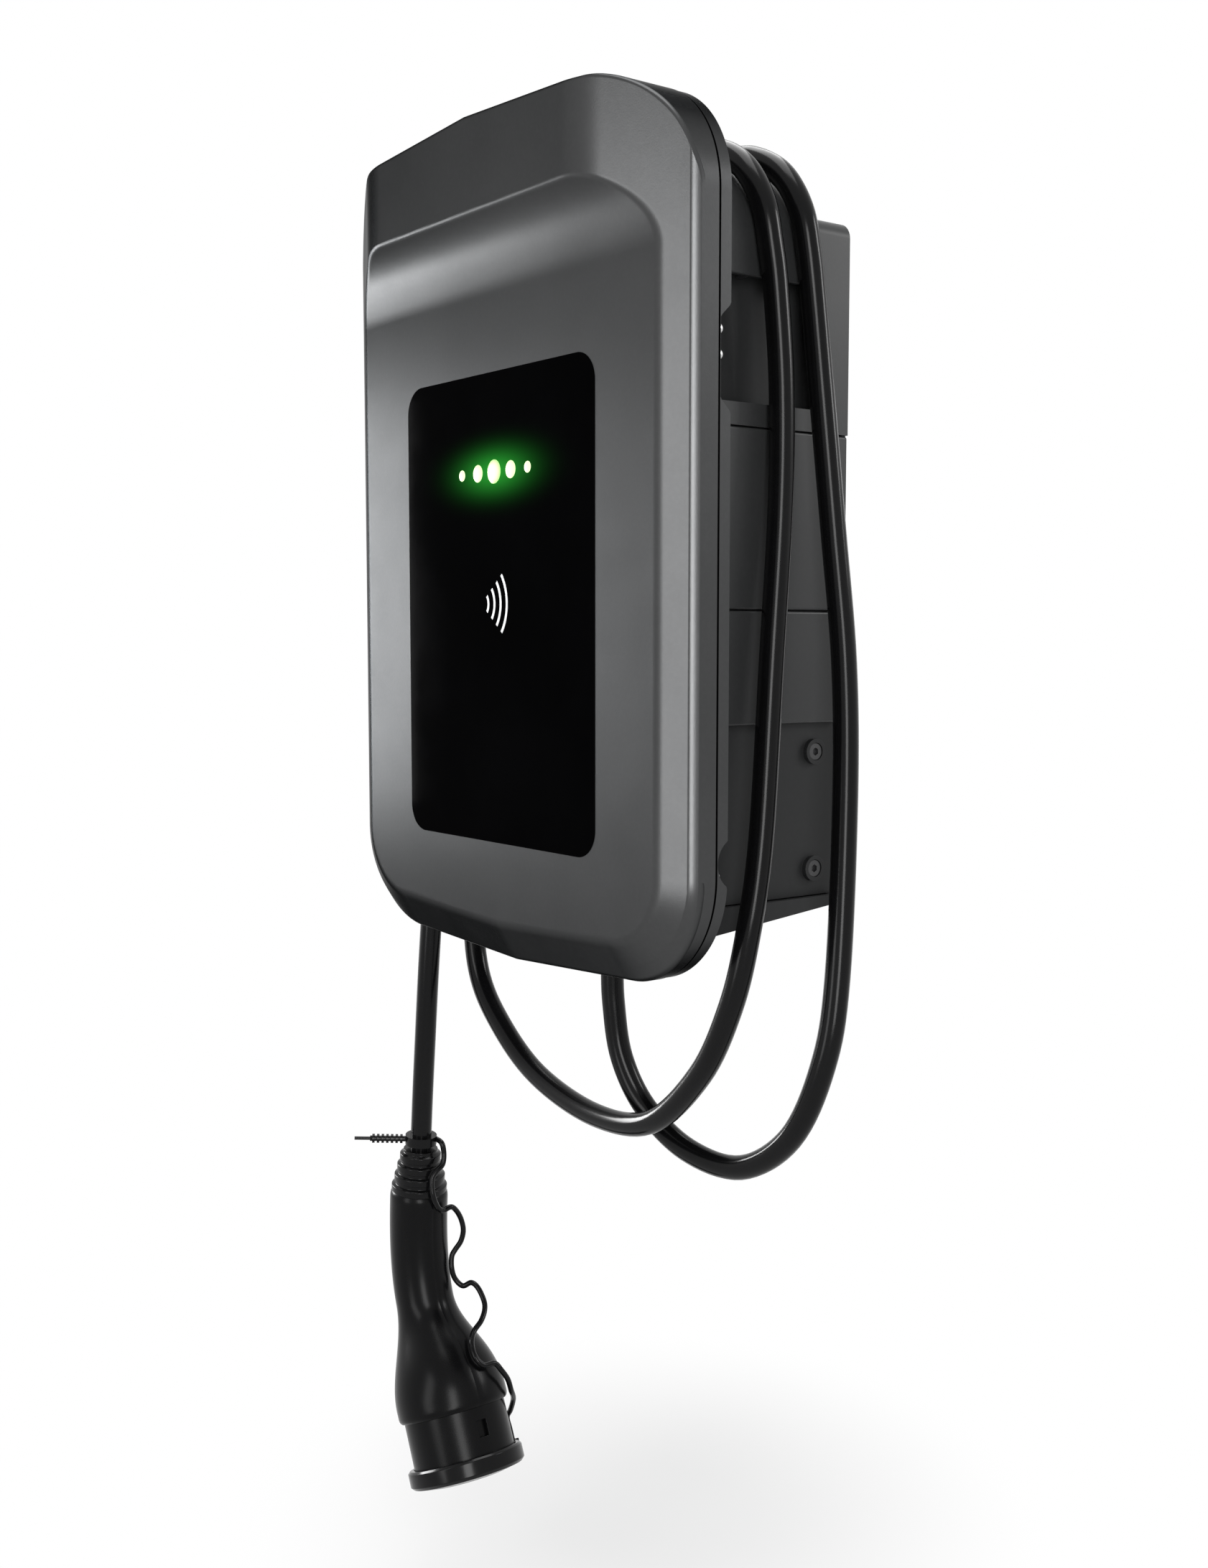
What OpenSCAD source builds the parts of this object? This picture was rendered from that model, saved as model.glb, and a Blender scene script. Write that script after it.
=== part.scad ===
// Wall-mounted car charging station: a bevelled front cover over a housing with a cable saddle,
// two loops of charging cable and a hanging hand plug with a dust cap.
// Millimetres, +Z up. The wall is the plane y = 0 and the front looks along -Y.
// Names that end in _d are distances from the wall.

/* [Cover] */
// Overall width of the front cover
cover_w = 316; // [300:1:330]
// Overall height of the front cover between the peaks of its top and bottom edges
cover_h = 450; // [444:1:470]
// Distance from the wall to the front of the brow
front_d = 178; // [176:1:190]
// How far the brow stands in front of the face
brow_step = 18.5; // [14:0.5:22]
// Width of the flat front of the brow
brow_w = 176; // [166:1:186]
// Height of the brow from the top peak down to its lip
brow_h = 50; // [44:1:56]
// Angle of the bevel along each side, measured from the front
side_bevel = 25.5; // [24:0.5:27]
// Depth of the cover's side wall behind the bevel
side_depth = 23; // [21:0.5:25]
// Distance from the brow front back to the lower edge of the chin
chin_back = 34; // [31:0.5:36]
// Angle of the bevel along the chin, measured from the front
chin_bevel = 31; // [29:0.5:34]
// Depth of the inset strip along the rear of the side wall
strip_depth = 8; // [5:0.5:10]
// How far the rear strip is set in
strip_inset = 1.2; // [0.6:0.1:1.6]
// Corner radius of the outline
corner_r = 58; // [50:1:64]
// Rise of the top and bottom edges from the corners to the middle
gable = 5; // [3:0.5:7]
// Radius of the concave sweep under the brow
sweep_r = 49; // [42:1:54]
// Radius of the blend between the brow and the side bevels
crest_r = 60; // [40:1:70]
// Radius of the edge between bevel and side wall
edge_r = 5; // [3:0.5:6]
// Wall thickness of the cover
cover_wall = 3; // [2.5:0.1:3.5]
// Wall thickness behind the face
face_wall = 4.5; // [4:0.1:5.5]
// Radius of the four posts that plug the cover on
post_r = 4; // [3:0.25:5]

/* [Panel] */
// Width of the black front panel
panel_w = 181; // [170:1:186]
// Height of the black front panel
panel_h = 254; // [244:1:258]
// Corner radius of the panel
panel_r = 15; // [10:1:20]
// Thickness of the panel
panel_t = 2.5; // [2:0.1:3]
// Width of the ledge that carries the panel
panel_ledge = 7; // [5:0.5:9]
// Height of the panel's middle
panel_z = -31.3; // [-34:0.1:-29]
// Spacing of the status lights
light_pitch = 16; // [14:0.5:18]
// Diameter of the middle status light
light_dia = 11; // [9:0.5:12]
// Loss of diameter from one light to the next one out
light_step = 2.3; // [1.5:0.1:2.5]
// Height of the row of lights above the middle of the panel
light_up = 74; // [68:1:80]

/* [Housing] */
// Width over the outer sleeves
body_w = 220; // [214:1:226]
// Thickness of the outer sleeves on each side
sleeve_t = 6; // [5:0.5:7]
// Step from the sleeves in to the chassis neck under the saddle
neck_step = 12; // [11:0.5:15]
// Room from the open front of the chassis to the front of the cover
cover_room = 60; // [59:0.5:64]
// Wall thickness of the chassis
chassis_wall = 3; // [2.5:0.1:4]
// Height of the chassis floor
floor_z = -187; // [-190:1:-184]
// Height of the ledge on top of the sleeves
ledge_z = 74; // [70:1:78]
// Height of the seam between upper and middle sleeve
upper_seam_z = 62; // [56:1:66]
// Height of the seam between middle and lower sleeve
lower_seam_z = -32; // [-36:1:-28]
// Height of the lower edge of the sleeves
sleeve_end_z = -92; // [-96:1:-88]
// Height of the top of the rear flange
flange_top_z = 175; // [172:1:178]
// Depth of the rear flange
flange_depth = 23; // [20:1:24]
// Radius of the flange's top corners
flange_r = 9; // [6:1:12]
// Thickness of the wall plate
plate_t = 4; // [3:0.5:5]
// Width of the wall plate
plate_w = 190; // [180:1:196]
// Height of the wall plate
plate_h = 300; // [290:1:304]
// Width of the wall screw pattern
screw_w = 160; // [150:1:164]
// Height of the wall screw pattern
screw_h = 240; // [220:1:250]
// Diameter of the wall screw holes
screw_dia = 7; // [6:0.5:8]
// Fall of the underside from the wall to the front
bottom_fall = 11.5; // [9:0.5:13]
// Thickness of the bottom tray at the wall side
bottom_t = 5; // [4:0.5:6]

/* [Saddle] */
// Height of the saddle's lower edge
saddle_low_z = 138; // [134:1:142]
// Height of the saddle's crown
saddle_top_z = 203; // [201:1:205]
// Radius of the saddle's shoulders
saddle_r = 50; // [46:1:52]
// Wall thickness of the saddle
saddle_wall = 4; // [3:0.5:5]

/* [Cable] */
// Diameter of the charging cable
cable_dia = 13.5; // [12:0.25:14]
// Depth of the cable gland's axis
gland_d = 80; // [76:1:84]
// Radius of the gland's thread
gland_r = 10; // [9.5:0.25:11]

/* [Plug] */
// Lean of the cable and the boot where the plug hangs
plug_lean = 5; // [4:0.5:6]
// Angle of the plug's nose from upright
nose_angle = 25; // [23:0.5:27]
// Length of the ribbed boot
boot_len = 28; // [26:1:31]
// Radius of the handle at the boot
grip_r = 18.8; // [17:0.1:20]
// Radius of the handle at its mouth
mouth_r = 35.5; // [34.5:0.5:38]
// Radius of the nose shroud
nose_r = 32.5; // [31:0.5:33]
// Length of the nose in front of the handle
nose_len = 37; // [35:1:44]
// Radius of the dust cap's rim
cap_r = 37; // [36:0.5:40]
// How far the dust cap's rim reaches over the nose
cap_grip = 9; // [8:1:12]
// Diameter of the tether strap
strap_dia = 3.5; // [3:0.25:4]

/* [Fits] */
// Running clearance between pieces that come apart
gap = 0.4; // [0.3:0.05:0.5]
// Clearance between pieces that stay together
seat = 0.3; // [0.2:0.05:0.35]

/* [Hidden] */
$fn = 64;
far = 400;
over = 1;

// Cover depths
face_d = front_d - brow_step;
crest_d = front_d - crest_r * (1 - cos(side_bevel));
bevel_run = cover_w / 2 - edge_r * (1 - sin(side_bevel)) - brow_w / 2 - crest_r * sin(side_bevel);
edge_end_d = crest_d - bevel_run * tan(side_bevel);
edge_start_d = edge_end_d - edge_r * cos(side_bevel);
rim_d = edge_end_d - side_depth;
strip_d = rim_d + strip_depth;
corner_x = cover_w / 2 - corner_r;
crest_mid_z = cover_h / 2 - gable - corner_r;
chin_mid_z = -crest_mid_z;
chin_d = front_d - chin_back;
lip_z = cover_h / 2 - brow_h;
sweep_z = lip_z - sqrt(sweep_r * sweep_r - pow(sweep_r - brow_step, 2));
panel_back_d = face_d - panel_t;
inner_face_d = face_d - face_wall;

// Housing depths and heights
chassis_w = body_w - 2 * sleeve_t;
neck_w = body_w - 2 * neck_step;
mouth_d = front_d - cover_room;
web_t = 3;
back_d = plate_t + web_t;
flange_d = plate_t + flange_depth;
neck_d = flange_d;
lid_t = 3.5;
seal_t = 1.5;
lid_d = mouth_d + seal_t;
lid_front_d = lid_d + lid_t;
saddle_z = saddle_top_z - saddle_r;
neck_r = saddle_r - (body_w - neck_w) / 2;
inside_d = back_d + chassis_wall;
inside_floor_z = floor_z + chassis_wall;
seam = 0.6;

// Fasteners and posts
lid_hole_x = chassis_w / 2 - 12;
lid_hole_up = 13;
lid_top_x = neck_w / 2 - 20;
lid_top_z = saddle_z + 8;
lid_holes = [for (x = [-1, 1]) each [[x * lid_hole_x, floor_z + lid_hole_up],
  [x * lid_hole_x, ledge_z - lid_hole_up], [x * lid_top_x, lid_top_z]]];
lid_screw_r = 2;
lid_screw_len = 16;
lid_hole_len = lid_screw_len + 4;
lid_head_r = 4;
boss_r = 5.5;
post_in = 18;
post_up = [ledge_z + 38, floor_z + 15];
post_spots = [for (z = post_up, x = [1, -1]) [x * (lid_hole_x - post_in), z]];
catch_wall = 3;
catch_len = 8;
side_spots = [floor_z + 15, floor_z + 79];
side_screw_d = back_d + 15;
side_boss_r = 7;
side_boss_t = 3;
side_head_r = 4.5;
side_shank = 5;
hook_z = 137;
hook_x = 60;

// Gland stack
seat_boss_z = floor_z - bottom_t - bottom_fall * 0.8;
grip = 0.2;
gland_bore_r = cable_dia / 2 - grip;
hex_r = 14;
hex_t = 7;
cap_nut_t = 20;
locknut_t = 6;
gland_top_z = inside_floor_z + locknut_t + 4;
supply_x = 42 - chassis_w / 2;
supply_d = 48;
supply_r = 12.5;
supply_hex_r = 17;

// Rails and boards
rail_z = -78;
rail_w = 35;
rail_h = 7.5;
rail_len = chassis_w - 32;
board_t = 1.6;
board_d = 46;
board_w = chassis_w - 58;
board_h = 110;
board_z = ledge_z - 69;
board_edge = 9;
board_spots = [for (x = [-1, 1], z = [board_edge, board_h - board_edge])
  [x * (board_w / 2 - board_edge), board_z + z]];
standoff_r = 4;
reader_w = 120;
reader_h = 150;
reader_edge = 8;
reader_z = panel_z + light_up - 62;
reader_d = lid_front_d + 16;
reader_spots = [for (x = [-1, 1], z = [-1, 1])
  [x * (reader_w / 2 - reader_edge), z * (reader_h / 2 - reader_edge)]];
lights = [-2, -1, 0, 1, 2];
guide_back_d = panel_back_d - 6;

// Plug frame: the boot's top, the straight lean and the nose axis
boot_top = [-162, -114, -378];
lean_dir = [-sin(plug_lean), 0, -cos(plug_lean)];
nose_dir = [sin(nose_angle), 0, -cos(nose_angle)];
grip_top = boot_top + lean_dir * boot_len;
nose_base = [-123, -114, -541];
handle_a = grip_top + lean_dir * 86;
handle_b = nose_base - nose_dir * 50;
handle_wall = 3;
boot_ribs = 4;
nose_wall = 2.6;
nose_floor = 4;
carrier_set = 18;
tower_r = 5.7;
sleeve_r = 4.2;
pin_spots = [[0, 0], [0, -16], [14.5, -8], [-14.5, -8], [8.5, 8.5], [-8.5, 8.5], [0, 19]];
image_turn = 59;

// Route of the charging cable from the gland to the boot: x, distance from the wall, height
cable_route = [
  [0, gland_d, gland_top_z], [0, gland_d, -200], [0, gland_d, -232], [0, 79, -258],
  [4, 76, -290], [20, 71, -317], [52, 66, -335], [92, 61, -336], [126, 56, -312],
  [145.5, 52, -270], [150, 46.6, -223], [146, 38.6, -130], [139, 33.6, -60], [130, 33.8, 10],
  [123, 36.3, 80], [118.3, 38.5, 130], [117.5, 41.5, 153], [113.5, 43.5, 175], [101, 44.5, 194],
  [82, 45, 206], [60, 45.5, 210.5], [0, 46, 210.5], [-60, 46.5, 210.5], [-82, 46.5, 206],
  [-101, 47, 194], [-113.5, 48, 175], [-118, 50, 153], [-124, 56, 100], [-130, 64, 30],
  [-136, 72, -60], [-141, 79, -150], [-141, 85, -215], [-131, 88, -259], [-103, 90, -288],
  [-60, 91, -312], [-2, 91, -323], [50, 91, -315], [91, 90, -280], [113, 88, -240],
  [123, 85, -200], [126, 79, -150], [124, 71, -60], [121, 63, 20], [119, 61, 80],
  [118, 64.5, 130], [117.5, 68, 153], [113.5, 70, 175], [101, 71, 194], [82, 71, 206],
  [60, 70.3, 210.5], [0, 69, 210.5], [-60, 69.5, 210.5], [-82, 70, 206], [-101, 71, 194],
  [-113.5, 72.5, 175], [-118, 76, 153], [-125, 84, 90], [-132, 96, 0], [-139, 106, -100],
  [-144, 112, -190], [-149, 114, -250], [-155, 114, -305]
];
cable_sides = 10;

// Route of the tether strap from the collar to the ear of the dust cap
strap_route = [
  [-157, 106, -372], [-147.6, 106.8, -372.7], [-146.4, 105.9, -379.6], [-145, 107.8, -385.9],
  [-144.6, 112.4, -389.4], [-144.6, 115.7, -393.2], [-143.9, 116.6, -399.2], [-142.7, 115.9, -406.6],
  [-143.4, 112, -414], [-144.4, 107.8, -416.4], [-144.3, 102, -415.3], [-145.1, 97.2, -419.5],
  [-145.9, 93.3, -426.4], [-146.4, 91.6, -434], [-147.3, 93, -441.1], [-148.8, 96.5, -446.6],
  [-149.1, 98.9, -450.7], [-147, 100.3, -457.6], [-146.4, 98.2, -465], [-142.7, 94.6, -469.5],
  [-138.2, 90.8, -466.8], [-132.6, 89.1, -469.2], [-126.7, 88.5, -475.9], [-122.4, 90.8, -480.3],
  [-118.6, 96, -484.8], [-116.3, 102.6, -488.8], [-112.6, 106.9, -492.1], [-107.7, 109.6, -496.1],
  [-103.2, 109.6, -500.8], [-100.5, 105.6, -505.3], [-100.3, 97.7, -506.1], [-98.2, 94, -510.8],
  [-99, 88.6, -518.6], [-100.7, 85, -527.3]
];
strap_sides = 8;

// Helper functions

function unit(v) = v / norm(v);

function smooth(x) = let (c = min(1, max(0, x))) c * c * (3 - 2 * c);

// Depth and half width along the edge between side wall and bevel, then along the crest of the brow
edge_points = [for (k = [0 : 3]) let (a = (90 - side_bevel) * k / 3)
  [edge_start_d + edge_r * sin(a), cover_w / 2 - edge_r * (1 - cos(a))]];
crest_points = [for (k = [4 : -1 : 0]) let (a = side_bevel * k / 4)
  [front_d - crest_r * (1 - cos(a)), brow_w / 2 + crest_r * sin(a)]];
side_table = concat(edge_points, crest_points);
depth_table = [for (p = side_table) [p[1], p[0]]];

// Depth and rise along the edge of the chin, then at the front
chin_points = [for (k = [0 : 3]) let (a = (90 - chin_bevel) * k / 3)
  [chin_d + edge_r * sin(a), edge_r * (1 - cos(a))]];
front_rise = edge_r * (1 - sin(chin_bevel)) + (front_d - chin_d - edge_r * cos(chin_bevel)) / tan(chin_bevel);
chin_table = concat(chin_points, [[front_d, front_rise]]);
corner_steps = 6;
corner_d = face_d + 2;

// Height of the cover's top edge at x, set in by t
function top_z(x, t) = x <= corner_x ? cover_h / 2 - t - gable * x / corner_x
  : crest_mid_z + sqrt(max(0, pow(corner_r - t, 2) - pow(x - corner_x, 2)));

// Points round a lower corner at depth d, from step k0 at the side to step k1 at the chin
function low_corner(d, t, k0, k1) = let (x = lookup(d, side_table) - t - corner_x,
    z = corner_r - t - lookup(d, chin_table))
  [for (k = [k0 : k1]) let (a = 90 * k / corner_steps)
    [corner_x + x * cos(a), d - t, chin_mid_z - z * sin(a)]];

// Right half of the cover's outline at a depth
function rear_outline(t, d) = let (r = corner_r - t, n = corner_steps) concat(
  [[0, d, cover_h / 2 - t], [0, d, t - cover_h / 2]],
  [for (k = [0 : n], s = [-1, 1]) let (a = 90 * k / n)
    [corner_x + r * cos(a), d, s * (crest_mid_z + r * sin(a))]]);

// Right half of the edges in front of that outline
function front_edges(t) = let (n = corner_steps, front = front_d - t) concat(
  [for (p = side_table) [p[1] - t, p[0] - t, top_z(p[1] - t, t)]],
  [for (k = [1 : n - 1]) let (x = corner_x + (corner_r - t) * cos(90 * k / n))
    [x, lookup(x + t, depth_table) - t, top_z(x, t)]],
  [for (p = edge_points) each low_corner(p[0], t, 0, n - 1)],
  [for (p = crest_points) [p[1] - t, p[0] - t, chin_mid_z]],
  [for (p = chin_points) each low_corner(p[0], t, 1, n)],
  low_corner(corner_d, t, 1, n - 1),
  [for (p = chin_table) [0, p[0] - t, chin_mid_z - corner_r + t + p[1] - gable]],
  [[brow_w / 2 - t, front, chin_mid_z - corner_r + t + front_rise], [0, front, cover_h / 2 - t]]);

// A closed skin over rings of points, with flat ends
module skin(rings) {
  n = len(rings[0]);
  m = len(rings);
  points = [for (r = rings) each r];
  sides = [for (i = [0 : m - 2], j = [0 : n - 1], k = [0, 1]) let (a = i * n + j, b = i * n + (j + 1) % n)
    k == 0 ? [a, a + n, b] : [b, a + n, b + n]];
  ends = [[for (j = [0 : n - 1]) j], [for (j = [n - 1 : -1 : 0]) (m - 1) * n + j]];
  polyhedron(points, concat(sides, ends), 10);
}

// Smallest convex form over points of the right half and their mirror images
module wrap(half) {
  points = [for (p = half, s = [-1, 1]) [s * p.x, -p.y, p.z]];
  hull() polyhedron(points, [[for (i = [0 : len(points) - 1]) i]]);
}

// The cover's outer form in front of its rear strip, set in by t
module cover_form(t, rear) {
  wrap(concat(rear_outline(t, rear), front_edges(t)));
}

// The strip along the rear of the side wall, let into the form in front of it
module rear_strip() {
  wrap(concat(rear_outline(strip_inset, rim_d), rear_outline(strip_inset, strip_d + over)));
}

// The hollow in front of the face, grown by g into the cover
module face_pocket(g, n = 12) {
  r = sweep_r + g;
  rise = asin((sweep_r - brow_step - over) / r);
  across(far) polygon(concat([[-far, -far], [-face_d + g, -far]],
    [for (k = [0 : n]) let (a = (90 - rise) * k / n)
      [-face_d - sweep_r + r * cos(a), sweep_z + r * sin(a)]],
    [[-far, sweep_z + r * cos(rise)]]));
}

// A front-view outline made solid between two depths
module slab(d0, d1) {
  rotate([90, 0, 0]) translate([0, 0, d0]) linear_extrude(d1 - d0) children();
}

// A side-view outline made solid across a width
module across(w) {
  translate([-w / 2, 0, 0]) rotate([90, 0, 90]) linear_extrude(w) children();
}

module round_rect(w, h, r) {
  square([w - 2 * r, h], center = true);
  square([w, h - 2 * r], center = true);
  for (x = [-1, 1], y = [-1, 1]) translate([x * (w / 2 - r), y * (h / 2 - r)]) circle(r);
}

// A rectangle of width w between two heights
module band(w, z0, z1) {
  translate([-w / 2, z0]) square([w, z1 - z0]);
}

// Arch outline with round shoulders: half width, shoulder radius and lower edge
module arch(half, r, z0) {
  band(2 * half, z0, saddle_z);
  band(2 * (half - r), z0, saddle_z + r);
  for (x = [-1, 1]) translate([x * (half - r), saddle_z]) intersection() {
    circle(r);
    translate([-r, -over / 2]) square([2 * r, r + over]);
  }
}

// Pin along the depth axis at a front-view spot
module peg(spot, r, d0, d1) {
  translate([spot.x, 0, spot.y]) rotate([90, 0, 0]) translate([0, 0, d0]) cylinder(r = r, h = d1 - d0);
}

// Upright cylinder at x and depth d
module post(x, d, r, z0, z1) {
  translate([x, -d, z0]) cylinder(r = r, h = z1 - z0);
}

// Wall plate and sleeves

module wall_plate() {
  hook_w = 20;
  lip = 3;
  window_z = 66;
  color("gainsboro") {
    difference() {
      slab(0, plate_t) round_rect(plate_w, plate_h, 8);
      for (x = [-1, 1], z = [-1, 1])
        peg([x * screw_w / 2, z * screw_h / 2], screw_dia / 2, -over, plate_t + over);
      for (z = [-1, 1]) slab(-over, plate_t + over) translate([0, z * window_z]) round_rect(90, 60, 10);
    }
    for (x = [-1, 1]) translate([x * hook_x - hook_w / 2, -plate_t - 8, hook_z]) {
      translate([0, 0, -lip]) cube([hook_w, 8 + over, lip]);
      translate([0, 0, -lip]) cube([hook_w, lip, 9 + lip]);
    }
  }
}

// Channel that wraps the back and both sides of the chassis between two heights
module sleeve(z0, z1) {
  difference() {
    slab(plate_t, mouth_d) band(body_w, z0, z1);
    slab(plate_t + web_t, mouth_d + over) band(chassis_w + 2 * seat, z0 - over, z1 + over);
  }
}

module flange_outline(t, z0) {
  w = body_w - 2 * t;
  top = flange_top_z - t;
  band(w, z0, top - flange_r);
  band(w - 2 * flange_r, z0, top);
  for (x = [-1, 1]) translate([x * (w / 2 - flange_r), top - flange_r]) circle(flange_r);
}

// Top sleeve with the flange that hangs on the wall plate
module upper_sleeve() {
  rail = 4.5;
  color("dimgray") {
    difference() {
      union() {
        slab(plate_t, mouth_d) band(body_w, upper_seam_z + seam / 2, ledge_z);
        slab(plate_t, flange_d) flange_outline(0, ledge_z - over);
      }
      slab(plate_t + web_t, mouth_d + over) band(chassis_w + 2 * seat, upper_seam_z - over, ledge_z + seat);
      slab(plate_t - over, flange_d - saddle_wall) flange_outline(saddle_wall, ledge_z + web_t);
    }
    translate([-body_w / 2 + 1, -plate_t - rail, hook_z]) cube([body_w - 2, rail, 4]);
  }
}

module middle_sleeve() {
  color("dimgray") sleeve(lower_seam_z + seam / 2, upper_seam_z - seam / 2);
}

module lower_sleeve() {
  color("dimgray") sleeve(sleeve_end_z, lower_seam_z - seam / 2);
}

// Chassis

module chassis() {
  color("darkslategray") {
    difference() {
      union() {
        slab(back_d, mouth_d) band(chassis_w, floor_z, ledge_z);
        slab(neck_d, mouth_d) arch(neck_w / 2, neck_r, ledge_z - over);
        for (x = [-1, 1], z = side_spots) translate([0, -side_screw_d, z]) rotate([0, 90 * x, 0])
          cylinder(r = side_boss_r, h = chassis_w / 2 + side_boss_t);
      }
      slab(inside_d, mouth_d + over)
        band(chassis_w - 2 * chassis_wall, inside_floor_z, ledge_z - chassis_wall);
      slab(neck_d + chassis_wall, mouth_d + over)
        arch(neck_w / 2 - chassis_wall, neck_r - chassis_wall, ledge_z - chassis_wall - over);
      for (x = [-1, 1], z = side_spots) translate([0, -side_screw_d, z]) rotate([0, 90 * x, 0]) {
        cylinder(r = side_head_r - 2 + seat, h = chassis_w);
        translate([0, 0, chassis_w / 2]) cylinder(r = side_head_r + seat, h = chassis_w);
      }
      post(0, gland_d, gland_r + seat, floor_z - over, inside_floor_z + over);
      post(supply_x, supply_d, supply_r + seat, floor_z - over, inside_floor_z + over);
    }
    for (s = lid_holes) difference() {
      peg(s, boss_r, (s.y > ledge_z ? neck_d : back_d) + over, mouth_d);
      peg(s, lid_screw_r + seat / 2, mouth_d - lid_hole_len, mouth_d + over);
    }
    for (s = board_spots)
      peg(s, standoff_r, (s.y > ledge_z - chassis_wall ? neck_d : back_d) + over, board_d);
  }
}

module side_screws() {
  color("silver") for (x = [-1, 1], z = side_spots)
    translate([x * chassis_w / 2, -side_screw_d, z]) rotate([0, 90 * x, 0]) difference() {
      union() {
        cylinder(r = side_head_r, h = side_boss_t - 0.5);
        translate([0, 0, -side_shank]) cylinder(r = side_head_r - 2, h = side_shank + over);
      }
      translate([0, 0, 0.8]) cylinder(r = 2.2, h = side_boss_t, $fn = 6);
    }
}

// Saddle that the cable hangs on, with ribs that sit on the chassis neck
module cable_saddle() {
  half = body_w / 2;
  rib_t = 3;
  rib_gap = 0.8;
  color("slategray") {
    difference() {
      slab(neck_d, mouth_d) arch(half, saddle_r, saddle_low_z);
      slab(neck_d - over, mouth_d + over)
        arch(half - saddle_wall, saddle_r - saddle_wall, saddle_low_z - over);
    }
    for (d = [neck_d, (neck_d + mouth_d) / 2, mouth_d - rib_t]) difference() {
      slab(d, d + rib_t) arch(half - saddle_wall + 0.5, saddle_r - saddle_wall + 0.5, saddle_low_z);
      slab(d - over, d + rib_t + over) arch(neck_w / 2 + rib_gap, neck_r + rib_gap, saddle_low_z - over);
    }
  }
}

// Bottom tray with the seats of both glands

module tray_outline(t) {
  polygon([[-back_d - t, floor_z + (t > 0 ? over : 0)], [-mouth_d + t, floor_z + (t > 0 ? over : 0)],
           [-mouth_d + t, floor_z - bottom_t - bottom_fall + t], [-back_d - t, floor_z - bottom_t + t]]);
}

module bottom_tray() {
  spots = [[0, gland_d, gland_r, hex_r + 2], [supply_x, supply_d, supply_r, supply_hex_r + 2]];
  color("darkslategray") difference() {
    union() {
      difference() {
        across(body_w) tray_outline(0);
        across(body_w - 7) tray_outline(3.5);
      }
      for (s = spots) post(s[0], s[1], s[3], seat_boss_z, floor_z);
    }
    for (s = spots) post(s[0], s[1], s[2] + seat, seat_boss_z - 5, floor_z + over);
  }
}

// Lid over the chassis

module lid_outline(t) {
  band(chassis_w - 2 * t, floor_z + t, ledge_z - t);
  arch(neck_w / 2 - t, neck_r - t, ledge_z - t - over);
}

module lid_seal() {
  color("black") difference() {
    slab(mouth_d, lid_d) lid_outline(0);
    slab(mouth_d - over, lid_d + over) lid_outline(chassis_wall);
  }
}

module inner_lid() {
  color("gray") difference() {
    union() {
      slab(lid_d, lid_front_d) lid_outline(0);
      for (s = reader_spots) peg(s + [0, reader_z], standoff_r, lid_d + over, reader_d);
      for (s = lid_holes) peg(s, boss_r, mouth_d, lid_d + over);
    }
    for (s = lid_holes) peg(s, lid_screw_r + seat, mouth_d - over, lid_front_d + over);
  }
}

module lid_screws() {
  color("silver") for (s = lid_holes) difference() {
    union() {
      peg(s, lid_screw_r, mouth_d - lid_screw_len, lid_front_d + over);
      peg(s, lid_head_r, lid_front_d, lid_front_d + 2.6);
    }
    translate([s.x, 0, s.y]) rotate([90, 0, 0]) translate([0, 0, lid_front_d + 1])
      cylinder(r = 1.8, h = 5, $fn = 6);
  }
}

module cover_catches() {
  color("silver") for (s = post_spots) difference() {
    peg(s, post_r + gap + catch_wall, lid_front_d, lid_front_d + catch_len);
    peg(s, post_r + gap, lid_front_d - over, lid_front_d + catch_len + over);
  }
}

// Working parts inside the chassis

module din_rail() {
  t = 1;
  base = 27;
  color("silver") translate([0, -inside_d, rail_z]) across(rail_len) {
    translate([-t, -base / 2]) square([t, base]);
    for (s = [0, 1]) mirror([0, s]) {
      translate([-rail_h, base / 2 - t]) square([rail_h, t]);
      translate([-rail_h, base / 2 - t]) square([t, (rail_w - base) / 2 + t]);
    }
  }
}

module contactor() {
  w = 54;
  h = 84;
  depth = 52;
  head_h = 44;
  head_depth = 64;
  poles = 4;
  pitch = 12;
  screw_hole = 3;
  from_end = 40;
  color("lightgray") translate([rail_len / 2 - from_end, -inside_d - rail_h, rail_z]) difference() {
    union() {
      translate([-w / 2, -depth, -h / 2]) cube([w, depth, h]);
      translate([-w / 2 + 5, -head_depth, -head_h / 2]) cube([w - 10, head_depth, head_h]);
    }
    for (i = [0 : poles - 1], z = [-1, 1])
      translate([(i - (poles - 1) / 2) * pitch, 2 * screw_hole - depth, z * h * 0.4])
        cylinder(r = screw_hole, h = 10 * screw_hole, center = true);
  }
}

module supply_terminals() {
  n = 5;
  w = 12;
  h = 52;
  depth = 44;
  wire_r = 3.5;
  slit = 0.8;
  slit_depth = 8;
  from_end = 44;
  color("lightgray") translate([from_end - rail_len / 2, -inside_d - rail_h, rail_z]) difference() {
    translate([-n * w / 2, -depth, -h / 2]) cube([n * w, depth, h]);
    for (i = [0 : n - 1], z = [-1, 1]) translate([(i - (n - 1) / 2) * w, 4 * wire_r - depth, z * h / 2])
      cylinder(r = wire_r, h = 7 * wire_r, center = true);
    for (i = [1 : n - 1]) translate([(i - n / 2) * w - slit / 2, -depth - over, -h / 2 - over])
      cube([slit, slit_depth, h + 2 * over]);
  }
}

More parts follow.
